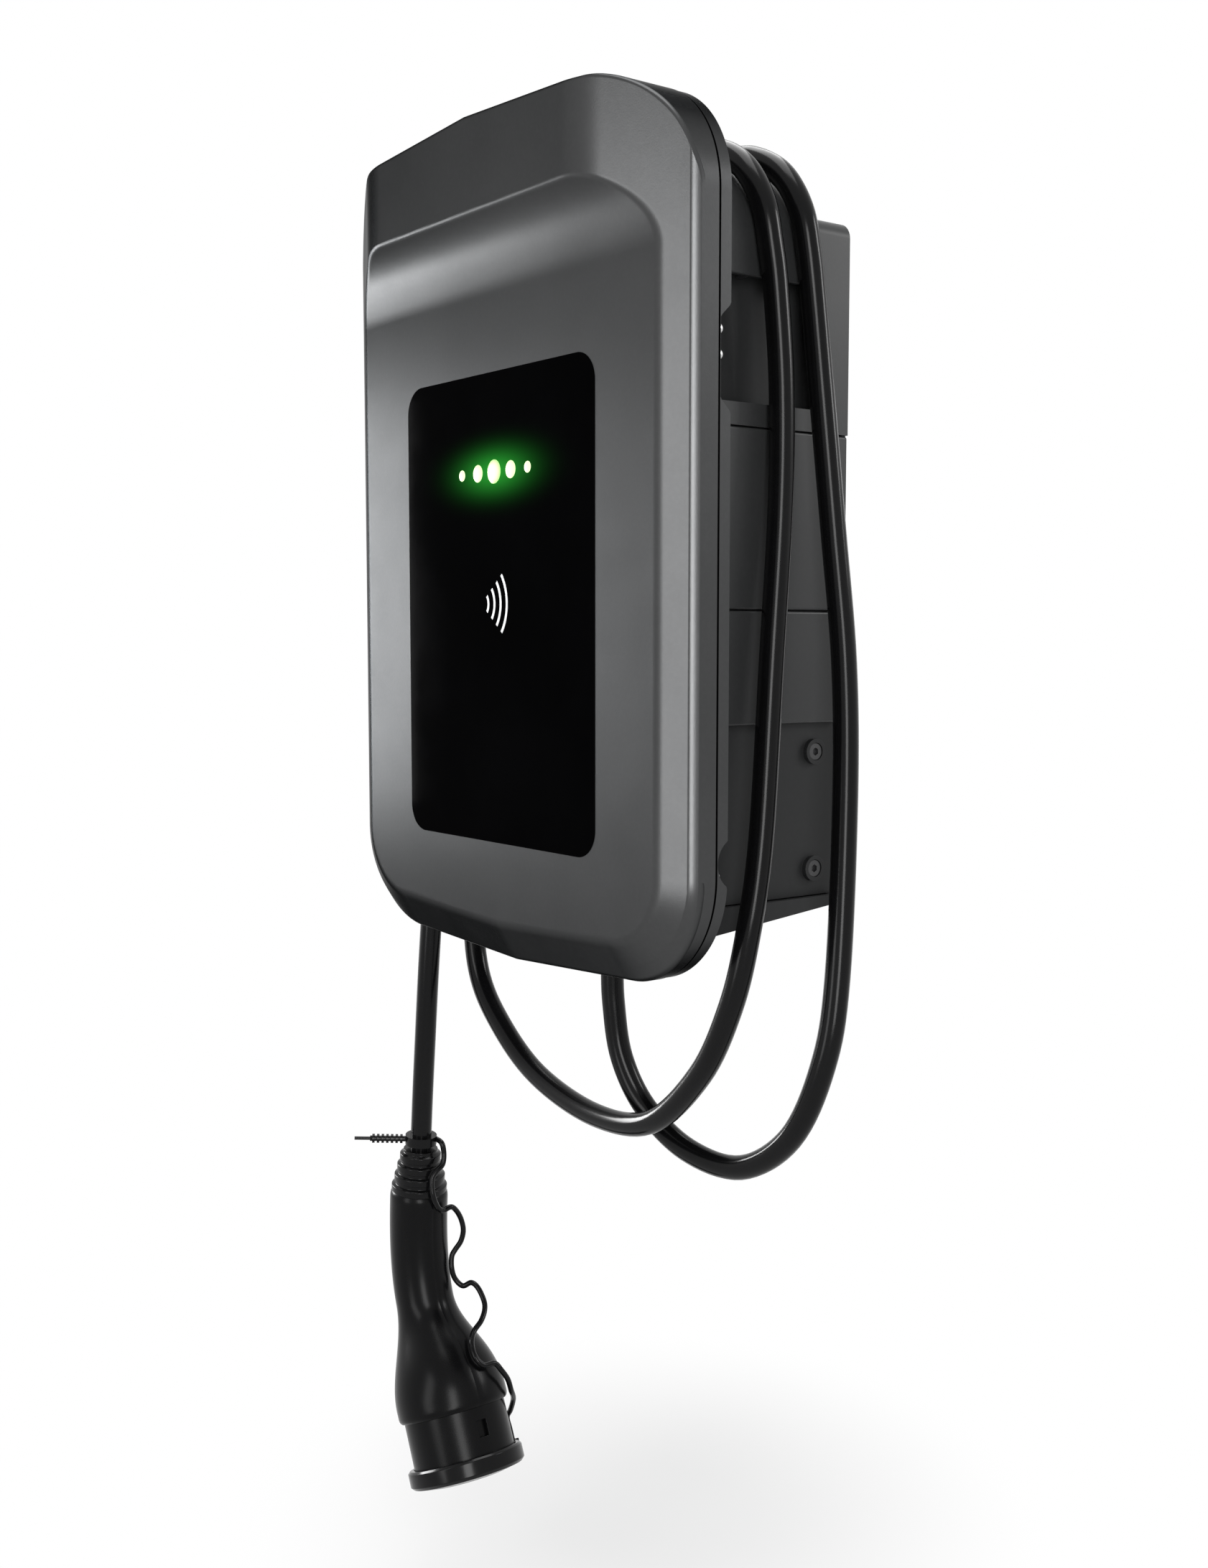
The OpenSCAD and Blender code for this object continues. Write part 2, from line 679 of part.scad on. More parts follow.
module leakage_sensor() {
  ring_up = 37;
  ring_z = floor_z + ring_up;
  ring_h = 20;
  ring_r = 25;
  lid_room = 13;
  ring_d = mouth_d - lid_room - ring_r;
  bore_r = 13;
  foot_w = 5;
  foot_depth = 16;
  color("black") {
    translate([0, -ring_d, ring_z]) difference() {
      cylinder(r = ring_r, h = ring_h);
      translate([0, 0, -over]) cylinder(r = bore_r, h = ring_h + 2 * over);
    }
    for (x = [-1, 1]) translate([x * (ring_r - 4) - foot_w / 2, -ring_d - foot_depth / 2, inside_floor_z])
      cube([foot_w, foot_depth, ring_z - inside_floor_z + over]);
  }
}

module control_board() {
  // Left edge, height, width, height and depth of each block on the board
  blocks = [[20, 35, 32, 28, 18], [-58, 19, 44, 34, 22], [-56, 73, 60, 14, 10]];
  tank_x = [20, 36, 52];
  tank_z = 87;
  tank_r = 6;
  tank_h = 22;
  face = board_d + board_t - over / 2;
  color("seagreen") translate([0, 0, board_z]) {
    translate([-board_w / 2, -board_d - board_t, 0]) cube([board_w, board_t, board_h]);
    for (b = blocks) translate([b[0], -face - b[4], b[1]]) cube([b[2], b[4], b[3]]);
    for (x = tank_x) translate([x, -face, tank_z]) rotate([90, 0, 0]) cylinder(r = tank_r, h = tank_h);
  }
}

module reader_board() {
  coil_w = 92;
  coil_h = 60;
  coil_t = 8;
  coil_up = 4;
  color("seagreen") {
    slab(reader_d, reader_d + board_t) translate([0, reader_z]) square([reader_w, reader_h], center = true);
    for (i = lights) slab(reader_d + board_t / 2, reader_d + board_t + 2)
      translate([i * light_pitch, panel_z + light_up]) square(5, center = true);
    slab(reader_d + board_t / 2, reader_d + board_t + 1) difference() {
      translate([0, panel_z + coil_up]) square([coil_w, coil_h], center = true);
      translate([0, panel_z + coil_up]) square([coil_w - 2 * coil_t, coil_h - 2 * coil_t], center = true);
    }
  }
}

// Glands

module hex_stack(x, d, r, hex, bore, z_top) {
  difference() {
    union() {
      post(x, d, r, seat_boss_z - over, z_top);
      translate([x, -d, seat_boss_z - hex_t]) cylinder(r = hex, h = hex_t, $fn = 6);
    }
    post(x, d, bore, seat_boss_z - hex_t - over, z_top + over);
  }
}

module hex_nut(x, d, r, hex) {
  difference() {
    translate([x, -d, inside_floor_z]) cylinder(r = hex, h = locknut_t, $fn = 6);
    post(x, d, r, inside_floor_z - over, inside_floor_z + locknut_t + over);
  }
}

module cable_gland() {
  color("black") hex_stack(0, gland_d, gland_r, hex_r, gland_bore_r, gland_top_z - 2);
}

module gland_cap() {
  top = seat_boss_z - hex_t;
  color("black") translate([0, -gland_d, top - cap_nut_t]) rotate_extrude()
    polygon([[gland_bore_r, 0], [gland_bore_r + 1.5, 0], [hex_r - 1.5, 8], [hex_r - 1, cap_nut_t],
             [gland_bore_r, cap_nut_t]]);
}

module gland_locknut() {
  color("black") hex_nut(0, gland_d, gland_r + seat / 2, hex_r);
}

module supply_gland() {
  color("black") hex_stack(supply_x, supply_d, supply_r, supply_hex_r, supply_r - 3, gland_top_z);
}

module supply_locknut() {
  color("black") hex_nut(supply_x, supply_d, supply_r + seat / 2, supply_hex_r);
}

module supply_plug() {
  top = seat_boss_z - hex_t;
  color("dimgray") {
    post(supply_x, supply_d, supply_hex_r - 3, top - 4, top);
    post(supply_x, supply_d, supply_r - 3 - seat, top - over, top + 14);
  }
}

// Front cover with its panel and lights

// Finger notch and screwdriver notch in the rear edge of each side wall
module finger_notches() {
  deep = strip_depth - 1.5;
  low_z = 60;
  high_z = 110;
  slope = 6;
  driver_z = -155.5;
  driver_r = 7;
  reach = 30;
  for (x = [-1, 1]) translate([x * cover_w / 2, 0, 0]) {
    across(reach) polygon([[over - rim_d, low_z], [-rim_d - deep, low_z + slope],
                           [-rim_d - deep, high_z - slope], [over - rim_d, high_z]]);
    translate([0, driver_r - rim_d, driver_z]) rotate([0, 90, 0])
      cylinder(r = driver_r + deep, h = reach, center = true);
  }
}

module front_cover() {
  color("dimgray") {
    difference() {
      union() {
        cover_form(0, strip_d);
        rear_strip();
      }
      face_pocket(0);
      difference() {
        cover_form(cover_wall, rim_d - over);
        face_pocket(face_wall);
      }
      slab(panel_back_d, face_d + over) translate([0, panel_z])
        round_rect(panel_w + 2 * seat, panel_h + 2 * seat, panel_r + seat);
      slab(inner_face_d - over, face_d) translate([0, panel_z])
        round_rect(panel_w - 2 * panel_ledge, panel_h - 2 * panel_ledge, panel_r - panel_ledge / 2);
      finger_notches();
    }
    for (s = post_spots) peg(s, post_r, lid_front_d + over, inner_face_d + over);
  }
}

function light_r(i) = light_dia / 2 - light_step / 2 * abs(i);

module display_panel() {
  color("black") difference() {
    slab(panel_back_d, face_d) translate([0, panel_z]) round_rect(panel_w, panel_h, panel_r);
    for (i = lights)
      peg([i * light_pitch, panel_z + light_up], light_r(i) + seat, panel_back_d - over, face_d + over);
  }
}

module light_guide() {
  color("palegreen") {
    slab(guide_back_d, panel_back_d) translate([0, panel_z + light_up])
      round_rect(4 * light_pitch + 16, light_dia + 6, 6);
    for (i = lights) peg([i * light_pitch, panel_z + light_up], light_r(i), panel_back_d - over, face_d);
  }
}

// Cable and plug

// Catmull-Rom point between b and c
function curve_point(a, b, c, d, t) = 0.5 * (2 * b + (c - a) * t + (2 * a - 5 * b + 4 * c - d) * t * t
  + (3 * b - a - 3 * c + d) * t * t * t);

function curve(p, steps) = let (n = len(p)) concat(
  [for (i = [0 : n - 2], s = [0 : steps - 1])
    curve_point(p[max(0, i - 1)], p[i], p[i + 1], p[min(n - 1, i + 2)], s / steps)], [p[n - 1]]);

// Point given in the frame of the plug's nose
function on_nose(v) = nose_base + [v.x * cos(nose_angle) - v.z * sin(nose_angle), v.y,
  v.x * sin(nose_angle) + v.z * cos(nose_angle)];

// Frames along a path: each normal is the last one turned with the path
function path_dir(p, i) = unit(p[min(len(p) - 1, i + 1)] - p[max(0, i - 1)]);

function side_axes(p, first) = [for (i = 0, v = first; i < len(p);
  i = i + 1, v = i < len(p) ? let (t = path_dir(p, i)) unit(v - t * (v * t)) : v) v];

module tube(p, r, sides, first) {
  axes = side_axes(p, first);
  skin([for (i = [0 : len(p) - 1])
    let (t = path_dir(p, i), u = unit(axes[i] - t * (axes[i] * t)), w = cross(t, u))
    [for (k = [0 : sides - 1]) p[i] + r * (u * cos(360 * k / sides) + w * sin(360 * k / sides))]]);
}

function to_space(v) = [for (q = v) [q[0], -q[1], q[2]]];

cable_path = curve(concat(to_space(cable_route), [boot_top - lean_dir * 34, boot_top, grip_top],
  [for (i = [1 : 4]) handle_point(0.12 * i)]), 2);

// Point beside the nose at an angle round it, a distance from its axis and a height above its base
function by_nose(a, r, z) = on_nose([r * cos(a), r * sin(a), z]);

strap_rise = 7;
ear_r = cap_r + 1.3;
ear_turn = image_turn + 35;
rim_top = cap_grip - nose_len - gap;
strap_path = curve(concat(to_space(strap_route),
  [by_nose(image_turn + 7, mouth_r + 3.1, -3), by_nose(image_turn + 25, mouth_r + 2.9, -10)],
  [for (k = [2 : -1 : 0]) by_nose(ear_turn, ear_r, rim_top + k * strap_rise)]), 2);

// Least distance between stretches of the cable that lie more than 120 mm apart along it
cable_gap = min([for (i = [0 : len(cable_path) - 1], j = [0 : len(cable_path) - 1])
  if (j > i + 16) norm(cable_path[i] - cable_path[j])]) - cable_dia;
cable_steps = [for (i = [1 : len(cable_path) - 1]) norm(cable_path[i] - cable_path[i - 1])];
cable_len = cable_steps * [for (x = cable_steps) 1];
echo(cable_length = cable_len, cable_least_gap = cable_gap);

module charging_cable() {
  color("black") tube(cable_path, cable_dia / 2, cable_sides, [1, 0, 0]);
}

// Moves a shape from the Z axis pointing down to the lean of the boot
module at_boot() {
  translate(boot_top) rotate([0, plug_lean, 0]) children();
}

// Moves a shape from the Z axis pointing down to the nose of the plug
module at_nose() {
  translate(nose_base) rotate([0, -nose_angle, 0]) children();
}

module cable_boot() {
  top_r = 13.3;
  end_r = grip_r - 0.8;
  rib = boot_len / boot_ribs;
  groove = 2.2;
  bore = cable_dia / 2 - grip;
  color("black") at_boot() translate([0, 0, -boot_len]) rotate_extrude()
    polygon(concat([[bore, 0]],
      [for (i = [0 : boot_ribs - 1])
        let (r = end_r + (top_r - end_r) * i / (boot_ribs - 1), z = i * rib)
        each [[r, z], [r, z + 0.55 * rib], [r - groove, z + 0.7 * rib], [r - groove, z + rib]]],
      [[bore, boot_len]]));
}

// Point on the handle's centre line
function handle_point(t) = pow(1 - t, 3) * grip_top + 3 * t * pow(1 - t, 2) * handle_a
  + 3 * t * t * (1 - t) * handle_b + t * t * t * nose_base;

function handle_dir(t) = t <= 0 ? lean_dir : t >= 1 ? nose_dir
  : unit(handle_point(t + 0.01) - handle_point(t - 0.01));

function handle_r(t) = grip_r + (mouth_r - grip_r) * smooth((t - 0.41) / 0.535);

// Point at an angle round the handle's centre line
function round_handle(t, r, a) = let (v = handle_dir(t)) handle_point(t)
  + r * ([-v.z, 0, v.x] * cos(a) - [0, 1, 0] * sin(a));

// Room inside the handle: a bore for the cable, then space for its cores
module handle_room(n = 16, m = 9) {
  bore_end = 0.05;
  first = 0.07;
  last = 0.93;
  bore = (cable_dia / 2 + seat) / cos(180 / n);
  rings = concat([[-0.01, bore], [bore_end, bore]],
    [for (i = [0 : m]) let (t = first + (last - first) * i / m) [t, handle_r(t) - handle_wall]]);
  skin([for (q = rings) [for (k = [0 : n - 1]) round_handle(q[0], q[1], 360 * (k + 0.5) / n)]]);
}

// Half of the handle on one side of the bend plane: turn is 0 for the front half and 180 for the rear half
module handle_half(turn, n = 12, m = 14) {
  difference() {
    skin([for (i = [0 : m]) [for (k = [0 : n]) round_handle(i / m, handle_r(i / m), turn + 180 * k / n)]]);
    handle_room();
  }
}

module handle_front() {
  color("black") handle_half(0);
}

module handle_rear() {
  color("black") handle_half(180);
}

module plug_shroud() {
  slot_turn = image_turn - 60;
  slot_w = 7;
  slot_h = 10;
  slot_up = 19;
  color("black") at_nose() difference() {
    translate([0, 0, -nose_len]) cylinder(r = nose_r, h = nose_len);
    translate([0, 0, -nose_len - over]) cylinder(r = nose_r - nose_wall, h = nose_len - nose_floor + over);
    rotate([0, 0, slot_turn]) translate([nose_r - nose_wall * 2, -slot_w / 2, slot_up - nose_len])
      cube([nose_wall * 4, slot_w, slot_h]);
  }
}

module contact_carrier() {
  color("dimgray") at_nose() difference() {
    union() {
      translate([0, 0, -nose_len + carrier_set])
        cylinder(r = nose_r - nose_wall - seat, h = nose_len - carrier_set - nose_floor);
      for (s = pin_spots) translate([s.x, s.y, -nose_len + 3]) cylinder(r = tower_r, h = carrier_set);
    }
    for (s = pin_spots) translate([s.x, s.y, -nose_len + 2]) cylinder(r = sleeve_r + seat / 2, h = 26);
  }
}

module contact_sleeves() {
  color("silver") at_nose() for (s = pin_spots) translate([s.x, s.y, -nose_len + 5]) difference() {
    cylinder(r = sleeve_r, h = 23);
    translate([0, 0, -over]) cylinder(r = sleeve_r - 1.2, h = 20);
  }
}

module dust_cap() {
  floor_t = 2.5;
  dome = 2.5;
  ear_w = 8;
  ear_low = 2;
  color("black") at_nose() translate([0, 0, -nose_len - gap]) {
    difference() {
      rotate_extrude() polygon([[0, -floor_t - dome], [cap_r - 12, -floor_t - 0.8 * dome],
                                [cap_r - 2, -floor_t], [cap_r, -floor_t + 2], [cap_r, cap_grip - 1.5],
                                [cap_r - 1.5, cap_grip], [0, cap_grip]]);
      cylinder(r = nose_r + gap, h = cap_grip + over);
    }
    rotate([0, 0, ear_turn]) translate([cap_r - 3.5, -ear_w / 2, ear_low])
      cube([ear_r - cap_r + 6, ear_w, cap_grip - ear_low]);
  }
}

// Eyelet on the cable above the boot, with the strap's ribbed tail
module strap_collar() {
  ring_h = 6;
  ribs = 7;
  color("black") at_boot() translate([0, 0, 3]) {
    difference() {
      cylinder(r = cable_dia / 2 + 3.4, h = ring_h);
      translate([0, 0, -over]) cylinder(r = cable_dia / 2 - grip, h = ring_h + 2 * over);
    }
    rotate([0, 0, 180 + image_turn]) translate([cable_dia / 2 + 2.2, 0, ring_h / 2]) rotate([0, 90, 0]) {
      cylinder(r = 1.8, h = 24);
      cylinder(r = 1.1, h = 34);
      for (i = [0 : ribs - 1]) translate([0, 0, 3 + i * 3]) cylinder(r = 2.9, h = 1.6);
    }
  }
}

module cap_strap() {
  color("black") tube(strap_path, strap_dia / 2, strap_sides, [1, 0, 0]);
}

wall_plate();
upper_sleeve();
middle_sleeve();
lower_sleeve();
chassis();
cable_saddle();
bottom_tray();
side_screws();
lid_seal();
inner_lid();
lid_screws();
cover_catches();
din_rail();
contactor();
supply_terminals();
leakage_sensor();
control_board();
reader_board();
cable_gland();
gland_cap();
gland_locknut();
supply_gland();
supply_locknut();
supply_plug();
front_cover();
display_panel();
light_guide();
charging_cable();
cable_boot();
handle_front();
handle_rear();
plug_shroud();
contact_carrier();
contact_sleeves();
dust_cap();
strap_collar();
cap_strap();
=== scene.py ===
"""Looks of a wall-mounted vehicle charging station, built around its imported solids."""

import logging
import math
from dataclasses import dataclass
from enum import Enum
from functools import cache, partialmethod
from typing import Callable, Iterable, Sequence

import bmesh
import bpy
import numpy as np
from mathutils import Matrix, Vector


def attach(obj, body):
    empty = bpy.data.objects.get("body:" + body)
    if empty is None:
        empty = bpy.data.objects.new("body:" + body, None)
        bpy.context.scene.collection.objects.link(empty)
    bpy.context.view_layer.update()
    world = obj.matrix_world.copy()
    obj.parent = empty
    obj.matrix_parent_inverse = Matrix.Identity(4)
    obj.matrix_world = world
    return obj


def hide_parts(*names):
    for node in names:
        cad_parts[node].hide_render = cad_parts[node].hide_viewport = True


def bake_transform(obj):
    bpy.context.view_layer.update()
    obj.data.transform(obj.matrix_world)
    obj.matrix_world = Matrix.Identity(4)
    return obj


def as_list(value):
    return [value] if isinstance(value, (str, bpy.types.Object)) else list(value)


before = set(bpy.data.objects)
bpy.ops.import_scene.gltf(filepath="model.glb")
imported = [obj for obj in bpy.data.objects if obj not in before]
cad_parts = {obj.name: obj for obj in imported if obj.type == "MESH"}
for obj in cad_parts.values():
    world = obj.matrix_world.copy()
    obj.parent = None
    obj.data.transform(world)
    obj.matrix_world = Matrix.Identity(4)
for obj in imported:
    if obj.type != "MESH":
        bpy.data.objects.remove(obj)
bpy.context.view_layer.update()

LOG = logging.getLogger("charging_station")
MM = 0.001
MERGE = 0.02 * MM
FLAT = math.radians(1.0)
CREASE = math.radians(40.0)
WIDE_CREASE = math.radians(50.0)
ROUND_FROM = math.radians(28.0)
ROUND_STEPS = 3
TURNED_SIDES = 32
ROUTE_STEPS = 8

Point = tuple[float, float, float]
Span = tuple[float, float]
Colour = tuple[float, float, float]
Piece = bpy.types.Object
Array = np.ndarray
Outline = tuple[Array, Array]
Loop = tuple[Array, Array, Array]
Patch = tuple[Array, Array, int]


class Body(Enum):
    """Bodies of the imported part."""

    STATION = "station"
    COVER = "cover"
    CAP = "cap"


class Slot(Enum):
    """Material slots of the record."""

    COVER = "cover_grey"
    PANEL = "panel_black"
    LIGHT = "light_green"
    HOUSING = "housing_grey"
    CHASSIS = "chassis_grey"
    STEEL = "steel"
    SEAL = "seal_black"
    DEVICE = "device_grey"
    DEVICE_DARK = "device_black"
    BOARD = "board_green"
    GLAND = "gland_black"
    CABLE = "cable_black"
    HANDLE = "handle_black"
    CONTACT = "contact_silver"


# Shader building


@dataclass
class Sock:
    """A shader value that takes part in Python arithmetic."""

    maker: "Tree"
    out: bpy.types.NodeSocket

    def calc(self, op: str, *others: object) -> "Sock":
        """Result of a Math node for this value and perhaps another one."""
        return self.maker.node("ShaderNodeMath", dict(enumerate((self, *others))), operation=op)

    __add__ = partialmethod(calc, "ADD")
    __sub__ = partialmethod(calc, "SUBTRACT")
    __mul__ = partialmethod(calc, "MULTIPLY")
    __truediv__ = partialmethod(calc, "DIVIDE")
    at_least = partialmethod(calc, "MAXIMUM")
    root = partialmethod(calc, "SQRT")
    exp = partialmethod(calc, "EXPONENT")
    nearest = partialmethod(calc, "ROUND")

    def ramp(self, low: float, high: float, to_low: float = 0.0, to_high: float = 1.0) -> "Sock":
        """Smooth step from to_low to to_high between two values."""
        values = {0: self, 1: low, 2: high, 3: to_low, 4: to_high}
        return self.maker.node("ShaderNodeMapRange", values, interpolation_type="SMOOTHSTEP")

    def mix(self, low: Colour, high: Colour) -> "Sock":
        """Colour between two colours, with this value as the factor."""
        values = {0: self, 6: low, 7: high}
        return self.maker.node("ShaderNodeMix", values, out=2, data_type="RGBA")


class Tree:
    """A node tree under construction."""

    def __init__(self, tree: bpy.types.NodeTree, output: str) -> None:
        """Empties the tree of a material or world and gives it an output node of that type."""
        tree.nodes.clear()
        self.tree, self.output = tree, tree.nodes.new(output)

    def node(self, kind: str, values: dict, out: int | str = 0, **settings: object) -> Sock:
        """Adds a node, its settings first and then its inputs.

        Args:
            kind: The node's type.
            values: Value or socket for each input.
            out: Output to return.
            settings: Properties of the node.

        Returns:
            The chosen output.
        """
        made = self.tree.nodes.new(kind)
        for key, value in settings.items():
            setattr(made, key, value)
        for key, value in values.items():
            self.feed(made.inputs[key], value)
        return Sock(self, made.outputs[out])

    def feed(self, socket: bpy.types.NodeSocket, value: object) -> None:
        """Links or sets one input socket.

        Args:
            socket: The input.
            value: A Sock, a number, a colour or a vector.
        """
        if isinstance(value, Sock):
            self.tree.links.new(value.out, socket)
        elif isinstance(value, (int, float)):
            socket.default_value = value
        else:
            opaque = (1.0,) * (len(socket.default_value) - len(value))
            socket.default_value = (*value, *opaque)

    def show(self, shader: Sock) -> None:
        """Links a shader to the tree's output."""
        self.tree.links.new(shader.out, self.output.inputs[0])

    def backdrop_rays(self) -> Sock:
        """1 for camera, glossy and transmission rays, which show the white background, or 0."""
        camera, glossy, through = (self.node("ShaderNodeLightPath", {}, f"Is {kind} Ray")
                                   for kind in ("Camera", "Glossy", "Transmission"))
        return camera.at_least(glossy).at_least(through)


class Maker(Tree):
    """One node material under construction."""

    def __init__(self, name: str) -> None:
        """Starts a material with a plain shader.

        Args:
            name: The material's name.
        """
        self.material = bpy.data.materials.new(name)
        self.material.use_nodes = True
        super().__init__(self.material.node_tree, "ShaderNodeOutputMaterial")
        self.surface = self.node("ShaderNodeBsdfPrincipled", {})
        self.show(self.surface)

    def set(self, **inputs: object) -> None:
        """Feeds the shader's inputs, with underscores for spaces in their names."""
        for key, value in inputs.items():
            self.feed(self.surface.out.node.inputs[key.replace("_", " ")], value)

    def place(self) -> Sock:
        """Object coordinates."""
        return self.node("ShaderNodeTexCoord", {}, out="Object")

    def axis(self, name: str) -> Sock:
        """One object coordinate, in metres."""
        return self.node("ShaderNodeSeparateXYZ", {0: self.place()}, out=name)

    def noise(self, scale: float, detail: float = 3.0, rough: float = 0.55) -> Sock:
        """Noise at so many cells per metre."""
        values = {"Vector": self.place(), "Scale": scale, "Detail": detail, "Roughness": rough}
        return self.node("ShaderNodeTexNoise", values)

    def cells(self, scale: float) -> Sock:
        """Distance to the nearest point of a cell pattern."""
        return self.node("ShaderNodeTexVoronoi", {"Vector": self.place(), "Scale": scale})

    def bump(self, height: Sock, depth: float, strength: float) -> None:
        """Feeds a bump of so many metres into the shader's normal."""
        values = {"Strength": strength, "Distance": depth, "Height": height}
        self.set(Normal=self.node("ShaderNodeBump", values))


# Finishes, with noise scales in cells per metre


@dataclass(frozen=True)
class Moulded:
    """Moulded plastic or rubber, or paint, with a fine grain and slight uneven gloss."""

    name: str
    colour: Colour
    light: Colour
    rough: float
    rough_spread: float = 0.06
    grain: float = 1400.0
    grain_depth: float = 0.00004
    grain_strength: float = 0.5
    specular: float = 0.5
    metallic: float = 0.0
    edge: float = 1.0
    cloud: float = 9.0
    speck: float = 420.0
    speck_share: float = 0.35
    smear: float = 38.0
    pit_size: float = 0.8
    pit_share: float = 0.4

    def paint(self, m: Maker) -> None:
        """Sets up the shader.

        Args:
            m: The material under construction.
        """
        cloud = m.noise(self.cloud, 4.0).ramp(0.3, 0.7)
        speck = m.noise(self.speck, 2.0).ramp(0.35, 0.75)
        tone = cloud * (1 - self.speck_share) + speck * self.speck_share
        smooth = self.rough - self.rough_spread / 2
        pits = m.cells(self.grain * self.pit_size) * self.pit_share
        m.set(Base_Color=tone.mix(self.colour, self.light),
              Roughness=m.noise(self.smear, 4.0) * self.rough_spread + smooth,
              Specular_IOR_Level=self.specular, Metallic=self.metallic,
              Specular_Tint=(self.edge,) * 3)
        m.bump(m.noise(self.grain, 2.0) * (1 - self.pit_share) + pits, self.grain_depth,
               self.grain_strength)


@dataclass(frozen=True)
class Metal:
    """Plated metal with fine brushing and dull patches."""

    name: str
    colour: Colour
    light: Colour
    rough: float
    rough_spread: float = 0.15
    patch: float = 60.0
    brush: float = 2500.0
    brush_depth: float = 0.00002
    brush_strength: float = 0.4

    def paint(self, m: Maker) -> None:
        """Sets up the shader.

        Args:
            m: The material under construction.
        """
        patch = m.noise(self.patch, 5.0).ramp(0.3, 0.7)
        m.set(Base_Color=patch.mix(self.colour, self.light), Metallic=1.0,
              Roughness=patch * self.rough_spread + self.rough)
        m.bump(m.noise(self.brush, 2.0), self.brush_depth, self.brush_strength)


@dataclass(frozen=True)
class CircuitBoard:
    """Green lacquer over copper traces."""

    name: str
    lacquer: Colour
    trace: Colour
    lanes: float = 90.0
    lane_width: float = 0.06
    lane_share: float = 0.7
    lane_depth: float = 0.00003
    lane_strength: float = 0.6
    fleck: float = 300.0
    fleck_share: float = 0.2
    smear: float = 80.0
    rough: float = 0.25
    rough_spread: float = 0.15

    def paint(self, m: Maker) -> None:
        """Sets up the shader.

        Args:
            m: The material under construction.
        """
        upright = {"Vector": m.place(), "Rotation": (math.pi / 2, 0, 0)}
        lanes = m.node("ShaderNodeTexBrick", {
            "Vector": m.node("ShaderNodeMapping", upright), "Scale": self.lanes,
            "Mortar Size": self.lane_width, "Color1": (0, 0, 0), "Color2": (0.2, 0.2, 0.2),
            "Mortar": (1, 1, 1)})
        tone = lanes * self.lane_share + m.noise(self.fleck) * self.fleck_share
        m.set(Base_Color=tone.mix(self.lacquer, self.trace),
              Roughness=m.noise(self.smear) * self.rough_spread + self.rough)
        m.bump(lanes, self.lane_depth, self.lane_strength)


@dataclass(frozen=True)
class LitPanel:
    """Black glossy panel with a painted glow round its status lights. Places in metres."""

    name: str
    colour: Colour
    # Colour of the painted glow that the panel itself emits round its lights
    painted_glow: Colour
    light_z: float
    spread: Span
    worn: float = 1.6
    wear: float = 14.0
    rough: float = 0.04
    rough_spread: float = 0.04
    specular: float = 0.002
    ripple: float = 900.0
    ripple_depth: float = 0.00001
    ripple_strength: float = 0.15

    def paint(self, m: Maker) -> None:
        """Sets up the shader.

        Args:
            m: The material under construction.
        """
        wear = m.noise(self.wear, 5.0).ramp(0.35, 0.75)
        across = m.axis("X") / self.spread[0]
        up = (m.axis("Z") - self.light_z) / self.spread[1]
        # Painted glow: the panel emits a soft green halo round the lights, as if lit by them
        painted_glow = ((across * across + up * up) * -0.5).exp()
        m.set(Base_Color=wear.mix(self.colour, tuple(c * self.worn for c in self.colour)),
              Roughness=wear * self.rough_spread + self.rough, Specular_IOR_Level=self.specular,
              Emission_Color=painted_glow.mix((0, 0, 0), self.painted_glow), Emission_Strength=1.0)
        m.bump(m.noise(self.ripple, 2.0), self.ripple_depth, self.ripple_strength)


@dataclass(frozen=True)
class LitLens:
    """Lit lenses in a row, white in the middle and green at their rims. Sizes in metres."""

    name: str
    core: Colour
    rim: Colour
    strength: float
    z: float
    pitch: float
    radius: float
    fade: Span = (0.35, 1.05)
    rough: float = 0.3
    specular: float = 0.1

    def paint(self, m: Maker) -> None:
        """Sets up the shader.

        Args:
            m: The material under construction.
        """
        lens = m.axis("X") / self.pitch
        near = lens - lens.nearest()
        up = (m.axis("Z") - self.z) / self.pitch
        far = (near * near + up * up).root() / (self.radius / self.pitch)
        m.set(Base_Color=self.rim, Roughness=self.rough, Specular_IOR_Level=self.specular,
              Emission_Color=far.ramp(*self.fade).mix(self.core, self.rim),
              Emission_Strength=self.strength)


